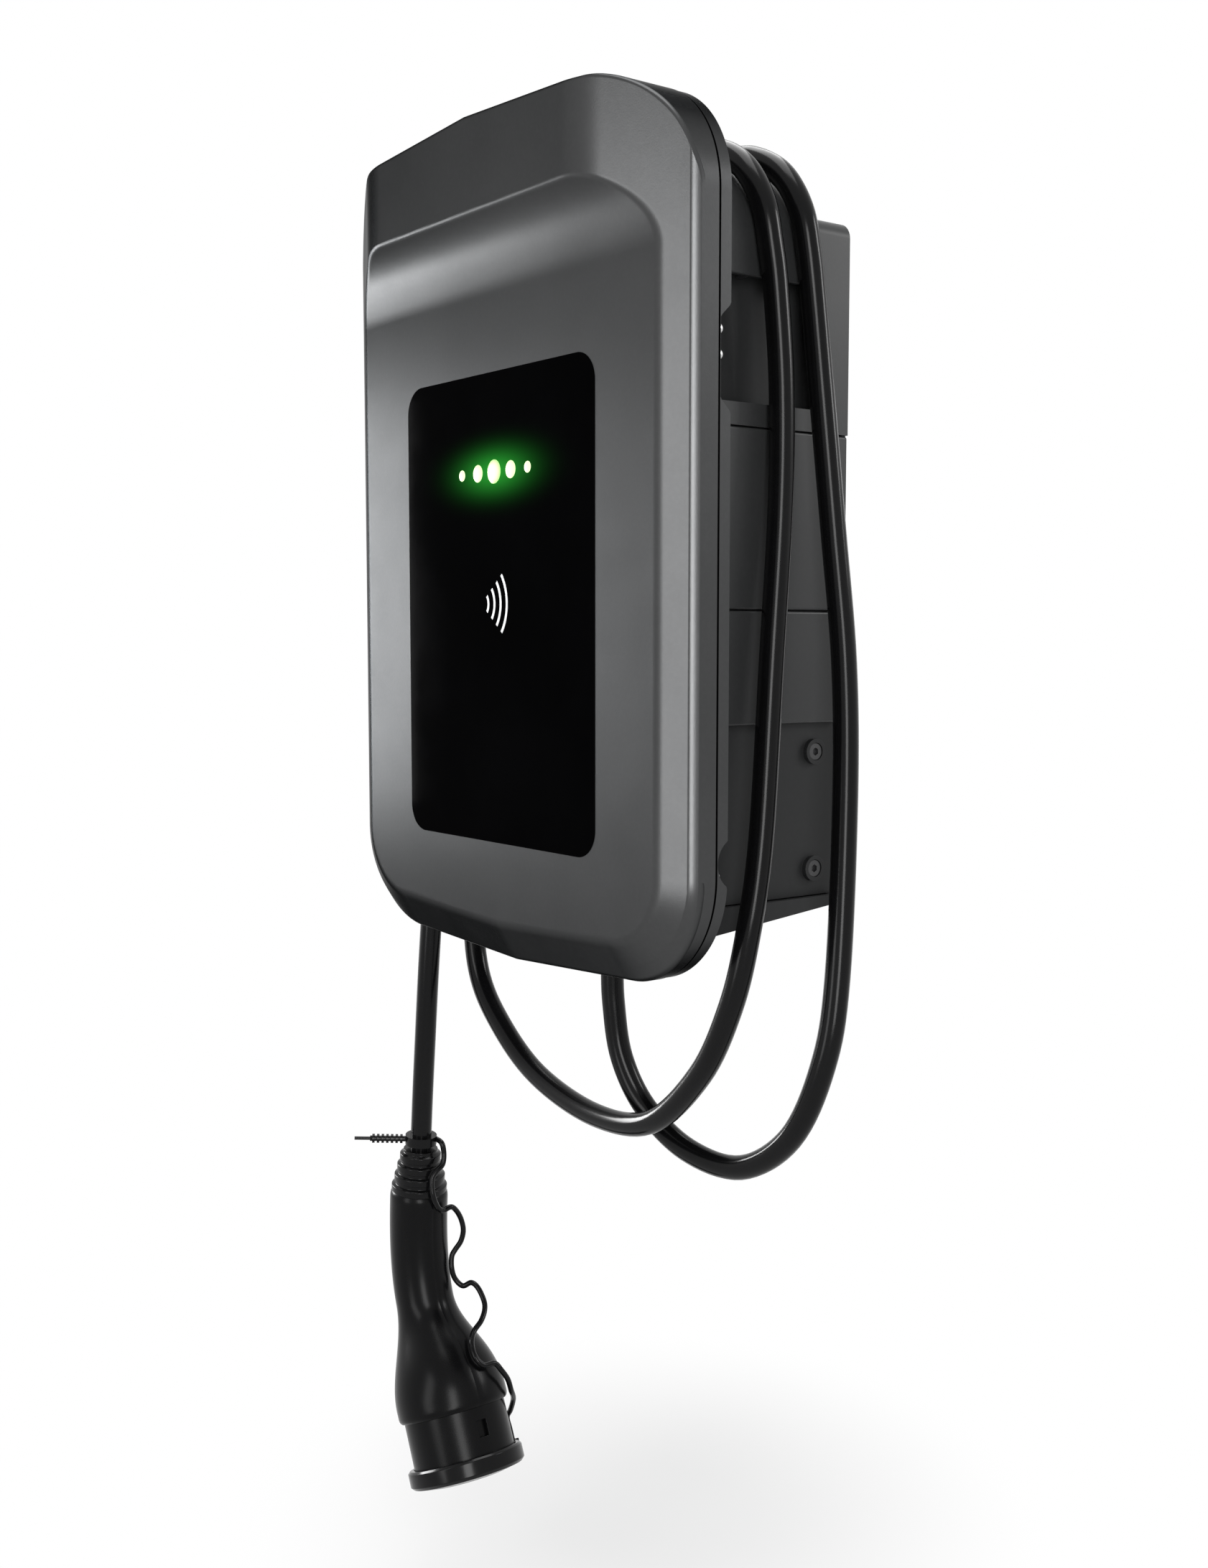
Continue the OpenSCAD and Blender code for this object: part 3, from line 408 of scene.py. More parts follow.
FINISHES: dict[Slot, Moulded | Metal | CircuitBoard | LitPanel | LitLens] = {
    Slot.COVER: Moulded("cover_paint", (0.058, 0.0588, 0.0596), (0.066, 0.0668, 0.0676), 0.3,
                        specular=0.1, metallic=1.0, edge=0.25),
    Slot.HOUSING: Moulded("housing_plastic", (0.018, 0.0185, 0.019), (0.023, 0.0235, 0.024), 0.4,
                          specular=0.28),
    Slot.CHASSIS: Moulded("chassis_plastic", (0.011, 0.0114, 0.0118), (0.014, 0.0144, 0.0148), 0.5,
                          specular=0.2),
    # The panel's second colour is its painted glow round the status lights
    Slot.PANEL: LitPanel("panel_gloss", (0.0006, 0.0006, 0.0007), (0.02, 0.3, 0.028), 0.0427,
                         (0.02, 0.007)),
    Slot.LIGHT: LitLens("status_lens", (0.88, 0.9, 0.66), (0.2, 0.5, 0.1), 1.0, 0.0427, 0.016,
                        0.0078),
    Slot.STEEL: Metal("zinc_steel", (0.5, 0.5, 0.5), (0.66, 0.66, 0.65), 0.28),
    Slot.SEAL: Moulded("seal_rubber", (0.012, 0.012, 0.012), (0.02, 0.02, 0.02), 0.7),
    Slot.DEVICE: Moulded("device_plastic", (0.42, 0.43, 0.44), (0.5, 0.51, 0.52), 0.5),
    Slot.DEVICE_DARK: Moulded("device_dark_plastic", (0.015, 0.015, 0.016), (0.025, 0.025, 0.026),
                              0.45),
    Slot.BOARD: CircuitBoard("board_lacquer", (0.01, 0.09, 0.035), (0.06, 0.22, 0.08)),
    Slot.GLAND: Moulded("gland_plastic", (0.008, 0.008, 0.0085), (0.012, 0.012, 0.0125), 0.42,
                        specular=0.25),
    Slot.CABLE: Moulded("cable_rubber", (0.0025, 0.0025, 0.0027), (0.004, 0.004, 0.0043), 0.18,
                        0.04, 1800.0, 0.000004, specular=0.13),
    Slot.HANDLE: Moulded("handle_plastic", (0.002, 0.002, 0.0022), (0.0032, 0.0032, 0.0035), 0.25,
                         0.05, 2000.0, 0.000006, specular=0.09),
    Slot.CONTACT: Metal("plated_contact", (0.62, 0.61, 0.58), (0.75, 0.74, 0.71), 0.18),
}


@cache
def material(slot: Slot) -> bpy.types.Material:
    """Makes the finish of a slot when it is first asked for.

    Args:
        slot: The slot.

    Returns:
        The material.
    """
    m = Maker(FINISHES[slot].name)
    FINISHES[slot].paint(m)
    return m.material


def wear(piece: Piece, slot: Slot) -> None:
    """Puts the finish of a slot on a piece."""
    piece.data.materials.clear()
    piece.data.materials.append(material(slot))


# Mesh helpers


def add_object(name: str, data: bpy.types.ID) -> Piece:
    """Puts a mesh, curve, camera or lamp into the scene.

    Args:
        name: The object's name.
        data: What the object shows.

    Returns:
        The new object.
    """
    made = bpy.data.objects.new(name, data)
    bpy.context.scene.collection.objects.link(made)
    return made


def add_mesh(name: str, verts: Iterable[Point], faces: Iterable[Sequence[int]]) -> Piece:
    """Makes a smooth-shaded mesh object.

    Args:
        name: The piece's name.
        verts: Points in metres.
        faces: Faces as lists of point numbers.

    Returns:
        The new object.
    """
    mesh = bpy.data.meshes.new(name)
    mesh.from_pydata([tuple(v) for v in verts], [], [tuple(f) for f in faces])
    mesh.shade_smooth()
    return add_object(name, mesh)


def add_box(name: str, across: Span, deep: Span, up: Span) -> Piece:
    """Makes a flat-shaded box.

    Args:
        name: The piece's name.
        across: Its ends across, in millimetres.
        deep: Its distances from the wall, in millimetres.
        up: Its heights, in millimetres.

    Returns:
        The new object.
    """
    verts = [(x * MM, -d * MM, z * MM)
             for x in sorted(across) for d in sorted(deep) for z in sorted(up)]
    faces = ((0, 1, 3, 2), (4, 6, 7, 5), (0, 4, 5, 1), (2, 3, 7, 6), (0, 2, 6, 4), (1, 5, 7, 3))
    piece = add_mesh(name, verts, faces)
    piece.data.shade_flat()
    return piece


def arc(start: float, run: float, steps: int) -> list[Span]:
    """Points of an arc of radius 1 that starts at an angle and runs on so many degrees."""
    turns = (math.radians(start + run * k / steps) for k in range(steps + 1))
    return [(math.cos(a), math.sin(a)) for a in turns]


def circle(sides: int) -> list[Span]:
    """Points of a circle of radius 1."""
    return arc(0, 360, sides)[:-1]


def add_lofts(name: str, lofts: Iterable[Sequence[Sequence[Point]]], wrap: bool = True,
              ends: tuple[bool, bool] = (True, True), crease: float = math.pi) -> Piece:
    """Makes an object of skins, each over rings of points.

    Args:
        name: The object's name.
        lofts: The rings of each skin, in metres, with as many points in each ring.
        wrap: Whether a ring closes on itself.
        ends: Whether the first and the last ring are capped.
        crease: Least angle of an edge that stays sharp, in radians.

    Returns:
        The mesh object.
    """
    verts: list[Point] = []
    faces: list[Sequence[int]] = []
    for rings in lofts:
        n, first = len(rings[0]), len(verts)
        verts += [point for ring in rings for point in ring]
        for a in range(first, len(verts) - n, n):
            for k in range(n if wrap else n - 1):
                m = (k + 1) % n
                faces.append((a + k, a + m, a + n + m, a + n + k))
        if ends[0]:
            faces.append(range(first, first + n)[::-1])
        if ends[1]:
            faces.append(range(len(verts) - n, len(verts)))
    piece = add_mesh(name, verts, faces)
    if crease < math.pi:
        piece.data.set_sharp_from_angle(angle=crease)
    return piece


def add_patches(name: str, patches: Iterable[Patch]) -> Piece:
    """Makes an object of grids of points that have normals of their own.

    Args:
        name: The object's name.
        patches: Points of each grid in millimetres, their normals, and -1 to turn it over or 1.

    Returns:
        The mesh object.
    """
    verts: list[Point] = []
    faces: list[list[int]] = []
    normals: list[Point] = []
    for points, bent, sign in patches:
        at = len(verts) + np.arange(points[..., 0].size).reshape(points.shape[:2])
        quads = np.stack([at[:-1, :-1], at[:-1, 1:], at[1:, 1:], at[1:, :-1]], axis=-1)
        faces += quads.reshape(-1, 4)[:, ::sign].tolist()
        verts += (points.reshape(-1, 3) * MM).tolist()
        normals += bent.reshape(-1, 3).tolist()
    piece = add_mesh(name, verts, faces)
    piece.data.normals_split_custom_set_from_vertices(normals)
    return piece


def in_front(x: Array, z: Array, d: Array) -> Array:
    """Points at positions across, heights and depths in front of the wall."""
    return np.stack([x, -d, z], axis=-1)


def unit(vectors: Array) -> Array:
    """Vectors brought to a length of 1."""
    return vectors / np.linalg.norm(vectors, axis=-1, keepdims=True)


def fillet(radius: float, run: Array) -> Array:
    """How far a rounded edge has dropped so far along it."""
    return radius - np.sqrt(radius**2 - np.clip(run, 0, radius)**2)


def add_tube(name: str, path: Sequence[Vector], radius: float, sides: int) -> Piece:
    """Makes a round mesh tube along a path.

    Args:
        name: The piece's name.
        path: Points in metres.
        radius: Radius in metres.
        sides: Sides of the tube.

    Returns:
        The mesh object.
    """
    rings: list[list[Vector]] = []
    side = Vector((1, 0, 0))
    last = len(path) - 1
    for i, place in enumerate(path):
        ahead = (path[min(last, i + 1)] - path[max(0, i - 1)]).normalized()
        side = (side - ahead * side.dot(ahead)).normalized()
        up = ahead.cross(side)
        rings.append([place + radius * (side * c + up * s) for c, s in circle(sides)])
    return add_lofts(name, [rings])


def add_turned(name: str, spots: Iterable[Span], profile: Sequence[Span]) -> Piece:
    """Makes turned pieces that stand along the depth axis.

    Args:
        name: The object's name.
        spots: Position across and height of each piece, in millimetres.
        profile: Radius and depth of each ring from the closed end on, in millimetres.

    Returns:
        The mesh object.
    """
    lofts = [[[((x + r * c) * MM, -d * MM, (z + r * s) * MM) for c, s in circle(TURNED_SIDES)]
              for r, d in profile] for x, z in spots]
    return add_lofts(name, lofts, ends=(True, False), crease=CREASE)


def add_cord(name: str, path: Sequence[Vector], radius: float) -> Piece:
    """Makes a round cord along a path.

    Args:
        name: The piece's name.
        path: Points in metres.
        radius: Radius in metres.

    Returns:
        The curve object.
    """
    data = bpy.data.curves.new(name, "CURVE")
    data.dimensions = "3D"
    data.bevel_depth = radius
    data.bevel_resolution = 6
    data.use_fill_caps = True
    line = data.splines.new("POLY")
    line.points.add(len(path) - 1)
    for point, place in zip(line.points, path):
        point.co = (*place, 1.0)
    line.use_smooth = True
    return add_object(name, data)


def smooth_route(points: Sequence[Vector]) -> list[Vector]:
    """Draws a smooth curve through a route's points.

    Args:
        points: The route.

    Returns:
        The curve's points.
    """
    last = len(points) - 1
    path: list[Vector] = []
    for i in range(last):
        a, b, c, d = (points[min(last, max(0, k))] for k in range(i - 1, i + 3))
        for t in (s / ROUTE_STEPS for s in range(ROUTE_STEPS)):
            bend = (2 * a - 5 * b + 4 * c - d) * t**2 + (3 * b - a - 3 * c + d) * t**3
            path.append(0.5 * (2 * b + (c - a) * t + bend))
    return path + [points[last]]


def path_length(path: Sequence[Vector]) -> float:
    """Length of a path."""
    return sum((b - a).length for a, b in zip(path, path[1:]))


def soften(node: str, width: float) -> Piece:
    """Copies a solid and rounds its sharp edges.

    Args:
        node: The solid's name.
        width: Rounding in millimetres.

    Returns:
        The rounded copy.
    """
    work = bmesh.new()
    work.from_mesh(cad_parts[node].data)
    bmesh.ops.remove_doubles(work, verts=work.verts, dist=MERGE)
    bmesh.ops.dissolve_limit(work, angle_limit=FLAT, verts=work.verts, edges=work.edges)
    sharp = [e for e in work.edges
             if len(e.link_faces) == 2 and e.calc_face_angle() > ROUND_FROM]
    bmesh.ops.bevel(work, geom=sharp, offset=width * MM, segments=ROUND_STEPS, profile=0.5,
                    affect="EDGES", clamp_overlap=True, harden_normals=False)
    bmesh.ops.triangulate(work, faces=[f for f in work.faces if len(f.verts) > 4])
    mesh = bpy.data.meshes.new(node + "_rounded")
    work.to_mesh(mesh)
    work.free()
    mesh.shade_smooth()
    mesh.set_sharp_from_angle(angle=CREASE)
    piece = add_object(mesh.name, mesh)
    piece.modifiers.new("even_normals", "WEIGHTED_NORMAL").keep_sharp = True
    return piece


def dress(piece: Piece, body: Body, slot: Slot, nodes: Sequence[str] = ()) -> Piece:
    """Gives a piece its body, finish and the solids that it stands for.

    Args:
        piece: The object.
        body: The body that it rides on.
        slot: Its finish.
        nodes: Names of the solids that it replaces.

    Returns:
        The same object.
    """
    wear(piece, slot)
    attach(piece, body.value)
    if nodes:
        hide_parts(*nodes)
    LOG.info("piece %s on %s", piece.name, body.value)
    return piece


# Front cover


@dataclass
class FrontCover:
    """Bevelled cover with a brow, a concave sweep, a flat face and a chin. Sizes in millimetres."""

    width: float = 316.0
    height: float = 450.0
    front: float = 178.0
    step: float = 18.5
    brow_w: float = 176.0
    brow_h: float = 50.0
    side_bevel: float = 25.5
    side_depth: float = 23.0
    chin_back: float = 34.0
    chin_bevel: float = 31.0
    corner: float = 58.0
    gable: float = 5.0
    sweep: float = 49.0
    sweep_end: float = 0.98
    crest: float = 60.0
    edge: float = 5.0
    edge_flat: float = 0.65
    wall: float = 3.0
    face_wall: float = 4.5
    lip_round: float = 1.6
    top_round: float = 2.2

    strip: float = 8.0
    inset: float = 0.3
    groove_in: float = 2.0
    groove_w: float = 1.5
    notch_room: float = 0.2
    notch_in: float = 6.0
    finger_z: Span = (60.0, 110.0)
    finger_slope: float = 6.0
    driver_z: float = -155.5
    driver_r: float = 7.0

    post_r: float = 4.0
    post_end: float = 124.0
    post_tip: Span = (0.8, 1.2)
    post_root: float = 1.0
    posts: tuple[Span, ...] = ((74, 112), (-74, 112), (74, -172), (-74, -172))
    studs: tuple[float, ...] = (99.0, 87.0, -162.0)
    stud_r: float = 2.9
    stud_set: float = 4.0
    stud_len: float = 6.5
    stud_dome: tuple[float, ...] = (0.15, 0.4, 0.7, 1.0, 1.3, math.pi / 2)
    blocks: tuple[Span, ...] = ((82.0, 109.5), (-168.0, -143.0))

    # Columns from the middle, the heights where bands of rows start with their rows, the height
    # from which rows follow the outline, and the steps that find slopes and the rim's normals
    middle_x: float = 78.0
    columns: tuple[int, int, int] = (24, 16, 61)
    bands: tuple[tuple[float, int], ...] = (
        (-225, 14), (-216, 20), (-188, 26), (-140, 32), (55, 42), (115, 10), (132, 58), (184, 12),
        (216, 14))
    still: float = 130.0
    probe: float = 0.04
    rim_probe: float = 1.0

    def __post_init__(self) -> None:
        """Works out the depths and heights that follow from the sizes."""
        bevel, chin = math.radians(self.side_bevel), math.radians(self.chin_bevel)
        half, top = self.width / 2, self.height / 2
        self.face = self.front - self.step
        crest_d = self.front - self.crest * (1 - math.cos(bevel))
        self.slope = math.tan(bevel)
        self.crest_x = self.brow_w / 2 + self.crest * math.sin(bevel)
        self.edge_x = half - self.edge * (1 - math.sin(bevel))
        self.edge_end = crest_d - (self.edge_x - self.crest_x) * self.slope
        self.edge_start = self.edge_end - self.edge * math.cos(bevel)
        self.rim = self.edge_end - self.side_depth
        self.strip_d = self.rim + self.strip
        self.corner_x = half - self.corner
        self.corner_z = top - self.gable - self.corner
        self.sweep_z = top - self.brow_h - math.sqrt(self.sweep**2 - (self.sweep - self.step)**2)
        self.chin_d = self.front - self.chin_back
        self.chin_slope = math.tan(chin)
        self.chin_run = self.edge * (1 - math.sin(chin))
        self.chin_end = self.chin_d + self.edge * math.cos(chin)

    def shoulder(self, x: Array) -> Array:
        """Height where the rounding of the outline starts."""
        return self.corner_z + self.gable * (1 - np.minimum(np.abs(x) / self.corner_x, 1))

    def top_z(self, x: Array, t: float) -> Array:
        """Height of the top edge when the outline is set in by t."""
        past = np.maximum(np.abs(x) - self.corner_x, 0)
        return self.shoulder(x) + np.sqrt(np.maximum((self.corner - t)**2 - past**2, 0))

    def half_width(self, d: Array) -> Array:
        """Finds the half width of the form.

        Args:
            d: Depths in front of the wall.

        Returns:
            Half widths.
        """
        back = np.clip(d - self.edge_start, 0, self.edge)
        curve = fillet(self.edge, back)
        chord = back * (self.width / 2 - self.edge_x) / (self.edge_end - self.edge_start)
        side = self.width / 2 - curve - self.edge_flat * (chord - curve)
        line = self.edge_x - (d - self.edge_end) / self.slope
        crown = self.brow_w / 2 + self.crest - fillet(self.crest, d - self.front + self.crest)
        return np.where(d < self.edge_end, side, np.where(line > self.crest_x, line, crown))

    def chin_rise(self, d: Array) -> Array:
        """Height of the chin above the cover's lower edge at depths in front of the wall."""
        line = self.chin_run + (d - self.chin_end) / self.chin_slope
        return np.where(d < self.chin_end, fillet(self.edge, d - self.chin_d), line)

    def form_depth(self, x: Array, z: Array, t: float) -> Array:
        """Finds the depth of the form before the face is cut in, by halving.

        Args:
            x: Positions across.
            z: Heights.
            t: How far the form is set in.

        Returns:
            Depths in front of the wall.
        """
        tries, tiny = 40, 1e-6
        ax = np.abs(x)
        over, drop = np.maximum(ax - self.corner_x, 0), np.maximum(-self.shoulder(x) - z, 0)
        low, high = np.full_like(ax, self.rim), np.full_like(ax, self.front)
        for _ in range(tries):
            mid = (low + high) / 2
            wide = self.half_width(mid) - t
            past = over / np.maximum(wide - self.corner_x, tiny)
            fall = drop / np.maximum(self.corner - t - self.chin_rise(mid), tiny)
            inside = (ax <= wide + tiny) & ((fall <= 0) | (past**2 + fall**2 <= 1 + tiny))
            low, high = np.where(inside, mid, low), np.where(inside, high, mid)
        return low - t

    def hollow_depth(self, z: Array) -> Array:
        """Depth of the face and of the sweep above it."""
        up = np.minimum(z - self.sweep_z, self.sweep * self.sweep_end)
        return self.face + fillet(self.sweep, up)

    def depth(self, x: Array, z: Array) -> Array:
        """Finds the depth of the outer surface, with its edges rounded.

        Args:
            x: Positions across.
            z: Heights.

        Returns:
            Depths in front of the wall.
        """
        form, cut = self.form_depth(x, z, 0.0), self.hollow_depth(z)
        near = np.maximum(self.lip_round - np.abs(form - cut), 0) / self.lip_round
        joined = np.minimum(form, cut) - near**2 * self.lip_round / 4
        return joined - fillet(self.top_round, self.top_round - self.top_z(x, 0.0) + z)

    def inner_depth(self, x: Array, z: Array) -> Array:
        """Depth of the inner surface."""
        return np.minimum(self.form_depth(x, z, self.wall), self.hollow_depth(z) - self.face_wall)

    def rim_depth(self, x: Array, z: Array) -> Array:
        """Finds the depth of the rear rim, with the finger and driver notches in its sides.

        Args:
            x: Positions across.
            z: Heights.

        Returns:
            Depths in front of the wall.
        """
        deep = self.strip - self.groove_w - self.notch_room
        inward = np.minimum(z - self.finger_z[0], self.finger_z[1] - z) / self.finger_slope
        reach = np.maximum((self.driver_r + deep)**2 - (z - self.driver_z)**2, 0)
        driver = np.maximum(np.sqrt(reach) - self.driver_r, 0)
        side = np.abs(x) > self.width / 2 - self.notch_in
        return self.rim + np.where(side, np.maximum(np.clip(inward * deep, 0, deep), driver), 0)

    def grid(self, t: float) -> Outline:
        """Makes the front-view grid inside the outline.

        Args:
            t: How far the outline is set in.

        Returns:
            Positions across and heights, one row of the array for each row of the grid.
        """
        near, far, round_steps = self.columns
        flat = np.append(np.linspace(0, self.middle_x, near),
                         np.linspace(self.middle_x, self.corner_x, far)[1:])
        turn = np.sin(np.linspace(0, math.pi / 2, round_steps)[1:])
        right = np.append(flat, self.corner_x + (self.corner - t) * turn)
        x = np.append(-right[:0:-1], right)
        full = self.height / 2
        ends = [z for z, _ in self.bands[1:]] + [full]
        rows = np.append(np.concatenate([np.linspace(a, b, n, endpoint=False)
                                         for (a, n), b in zip(self.bands, ends)]), full)
        sign, size = np.sign(rows)[:, None], np.abs(rows)[:, None]
        over = np.clip((size - self.still) / (full - self.still), 0, 1)
        z = sign * (np.minimum(size, self.still) + over * (self.top_z(x, t) - self.still))
        return np.broadcast_to(x, z.shape), z

    @staticmethod
    def border(grid: Array) -> Array:
        """Values round a grid's border, with the first one again at the end."""
        return np.concatenate([grid[0], grid[1:, -1], grid[-1, -2::-1], grid[-2::-1, 0]])

    def outline(self, t: float) -> Outline:
        """Positions across and heights round the outline set in by t."""
        return tuple(map(self.border, self.grid(t)))

    def sheet(self, t: float, depth: Callable[..., Array], sign: int) -> tuple[Patch, Loop]:
        """Makes a sheet over the front-view grid.

        Args:
            t: How far the outline is set in.
            depth: Gives the depths for positions across and heights.
            sign: 1 for a sheet that faces forward and -1 for one that faces back.

        Returns:
            The sheet, and the positions across, heights and depths round its border.
        """
        x, z = self.grid(t)
        d, h = depth(x, z), self.probe
        dx = (depth(x + h, z) - depth(x - h, z)) / (2 * h)
        dz = (depth(x, z + h) - depth(x, z - h)) / (2 * h)
        normals = unit(sign * in_front(-dx, -dz, np.ones_like(d)))
        return (in_front(x, z, d), normals, sign), tuple(map(self.border, (x, z, d)))

    def build(self) -> None:
        """Builds the cover and what is fixed to it."""
        front, outer = self.sheet(0.0, self.depth, 1)
        inside, hollow = self.sheet(self.wall, self.inner_depth, -1)
        edge = x, z = outer[:2]
        within, slim, deep, inner = (
            self.outline(t) for t in (self.rim_probe, self.inset, self.groove_in, self.wall))
        out = unit(in_front(x - within[0], z - within[1], np.zeros_like(x)))
        back = np.broadcast_to((0.0, 1.0, 0.0), out.shape)
        strip = np.full_like(x, self.strip_d)
        past, rim = strip - self.groove_w, self.rim_depth(*slim)
        loops = (outer, (*edge, strip), (*deep, strip), (*deep, past), (*slim, past), (*slim, rim),
                 (*inner, rim), hollow)
        sides = (out, back, out, -back, out, back, -out)
        belts = [(np.stack([in_front(*near), in_front(*far)]), np.stack([side, side]), -1)
                 for near, far, side in zip(loops, loops[1:], sides)]
        shell = add_patches("cover_shell", [front, inside, *belts])
        dress(shell, Body.COVER, Slot.COVER, ["front_cover"])
        self.build_posts()
        self.build_notches()

    def build_posts(self) -> None:
        """Builds the four posts that plug the cover on."""
        (narrow, long), r, end = self.post_tip, self.post_r, self.post_end
        root = self.face - self.face_wall + self.post_root
        profile = ((r - narrow, end), (r, end + long), (r, root))
        dress(add_turned("cover_posts", self.posts, profile), Body.COVER, Slot.COVER)

    def build_notches(self) -> None:
        """Builds the studs and blocks that show in the side notches."""
        r, seat = self.stud_r, self.rim + self.stud_set
        end, wall = seat + self.stud_len, self.width / 2 - self.wall
        dome = [(r * math.sin(a), seat - r * math.cos(a)) for a in self.stud_dome]
        spots = [(side * (wall - r), z) for side in (-1, 1) for z in self.studs]
        dress(add_turned("notch_studs", spots, dome + [(r, end)]), Body.COVER, Slot.STEEL)
        for side, name in ((-1, "left"), (1, "right")):
            across = (side * (wall - 2 * r), side * wall)
            for k, up in enumerate(self.blocks, 1):
                block = add_box(f"notch_block_{name}_{k}", across, (seat, end), up)
                dress(block, Body.COVER, Slot.CHASSIS)


# Panel with its lights


@dataclass
class FrontPanel:
    """Black panel with five lights and a plain contactless sign. Sizes in millimetres."""

    width: float = 181.0
    height: float = 254.0
    radius: float = 15.0
    corner_steps: int = 14
    z: float = -31.3
    face: float = 159.5
    proud: float = 0.4
    root: float = 1.0
    edge: tuple[Span, ...] = ((0.0, 0.3), (-0.12, 0.09), (-0.4, 0.0))

    light_z: float = 42.7
    light_pitch: float = 16.0
    light_dia: float = 13.0
    light_step: float = 3.4
    lights: tuple[int, ...] = (-2, -1, 0, 1, 2)
    dome: float = 0.6
    dome_sunk: float = 0.05
    dome_rings: int = 5
    dome_sides: int = 40

    sign_at: Span = (-13.0, -28.0)
    sign_radii: tuple[float, ...] = (7.0, 13.0, 19.0, 25.0)
    sign_angle: float = 38.0
    sign_steps: int = 20
    sign_bar: float = 1.8
    sign_lift: Span = (0.02, 0.14)

    def at(self, x: float, z: float, up: float) -> Point:
        """Point that stands so far in front of the panel's seat, in metres."""
        return x * MM, -(self.face + up) * MM, z * MM

    def outline(self, grow: float) -> list[Span]:
        """Finds the rounded outline of the panel.

        Args:
            grow: How far the outline is moved out.

        Returns:
            Points round the panel.
        """
        w, h, r = self.width / 2 - self.radius, self.height / 2 - self.radius, self.radius + grow
        corners = ((w, h, 0), (-w, h, 90), (-w, -h, 180), (w, -h, 270))
        return [(x + r * c, self.z + z + r * s) for x, z, start in corners
                for c, s in arc(start, 90, self.corner_steps)]

    def build(self) -> None:
        """Builds the panel, with a flat front inside its rounded edge, its lenses and its sign."""
        levels = [(0.0, -self.root)] + [(grow, self.proud - down) for grow, down in self.edge]
        rings = [[self.at(x, z, up) for x, z in self.outline(grow)] for grow, up in levels]
        panel = add_lofts("front_panel", [rings], ends=(False, True), crease=WIDE_CREASE)
        panel.data.polygons[-1].use_smooth = False
        dress(panel, Body.COVER, Slot.PANEL, ["display_panel"])
        self.build_lenses()
        self.build_sign()

    def build_lenses(self) -> None:
        """Builds the domed lenses, smaller towards the ends of their row."""
        domes = []
        for i in self.lights:
            r, x = self.light_dia / 2 - self.light_step / 2 * abs(i), i * self.light_pitch
            domes.append([[self.at(x + r * out * c, self.light_z + r * out * s,
                                   self.proud + self.dome * up - self.dome_sunk)
                           for c, s in circle(self.dome_sides)]
                          for out, up in arc(0, 90, self.dome_rings)[:-1]])
        dress(add_lofts("status_lenses", domes, ends=(False, True)), Body.COVER, Slot.LIGHT)

    def build_sign(self) -> None:
        """Builds the raised arcs of a plain contactless sign."""
        (x, z), (low, high), half = self.sign_at, self.sign_lift, self.sign_bar / 2
        section = ((-half, low), (-half, high), (half, high), (half, low))
        turns = arc(-self.sign_angle, 2 * self.sign_angle, self.sign_steps)
        arcs = [[[self.at(x + (r + out) * c, z + (r + out) * s, self.proud + up)
                  for out, up in section] for c, s in turns] for r in self.sign_radii]
        sign = add_lofts("contactless_sign", arcs, wrap=False, ends=(False, False), crease=CREASE)
        dress(sign, Body.COVER, Slot.DEVICE)


# Housing


@dataclass
class Housing:
    """Sleeves, chassis, saddle and fastenings, with rounded edges. Sizes in millimetres."""

    rounding: tuple[tuple[str, float, Slot], ...] = (
        ("wall_plate", 0.5, Slot.STEEL), ("upper_sleeve", 2.2, Slot.HOUSING),
        ("middle_sleeve", 1.4, Slot.HOUSING), ("lower_sleeve", 1.4, Slot.HOUSING),
        ("chassis", 0.9, Slot.CHASSIS), ("cable_saddle", 1.2, Slot.HOUSING),
        ("bottom_tray", 1.5, Slot.CHASSIS), ("side_screws", 0.4, Slot.DEVICE_DARK),
        ("inner_lid", 0.8, Slot.CHASSIS), ("lid_screws", 0.35, Slot.STEEL),
        ("cover_catches", 0.4, Slot.STEEL), ("reader_board", 0.2, Slot.BOARD),
        ("cable_gland", 0.5, Slot.GLAND), ("gland_cap", 0.8, Slot.GLAND),
        ("supply_gland", 0.5, Slot.GLAND), ("supply_plug", 0.6, Slot.GLAND),
    )
    plain: tuple[tuple[str, Slot], ...] = (
        ("lid_seal", Slot.SEAL), ("din_rail", Slot.STEEL), ("contactor", Slot.DEVICE),
        ("supply_terminals", Slot.DEVICE), ("leakage_sensor", Slot.DEVICE_DARK),
        ("control_board", Slot.BOARD), ("gland_locknut", Slot.GLAND),
        ("supply_locknut", Slot.GLAND), ("light_guide", Slot.LIGHT),
    )
    # Half width, depths and heights of the pads that close the back and the seams' ends
    pads: tuple[tuple[str, float, Span, Span], ...] = (
        ("rear_pad", 104.0, (4.0, 7.2), (-187.0, -92.4)),
        ("upper_seam_pad", 108.5, (4.3, 7.0), (59.0, 65.0)),
        ("lower_seam_pad", 108.5, (4.3, 7.0), (-35.0, -29.0)),
    )

    def build(self) -> None:
        """Adds the pads, rounds the pieces that show and finishes the ones inside."""
        for name, half, deep, up in self.pads:
            dress(add_box(name, (-half, half), deep, up), Body.STATION, Slot.CHASSIS)
        for node, width, slot in self.rounding:
            dress(soften(node, width), Body.STATION, slot, [node])
        for node, slot in self.plain:
            wear(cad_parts[node], slot)


# Cable and plug


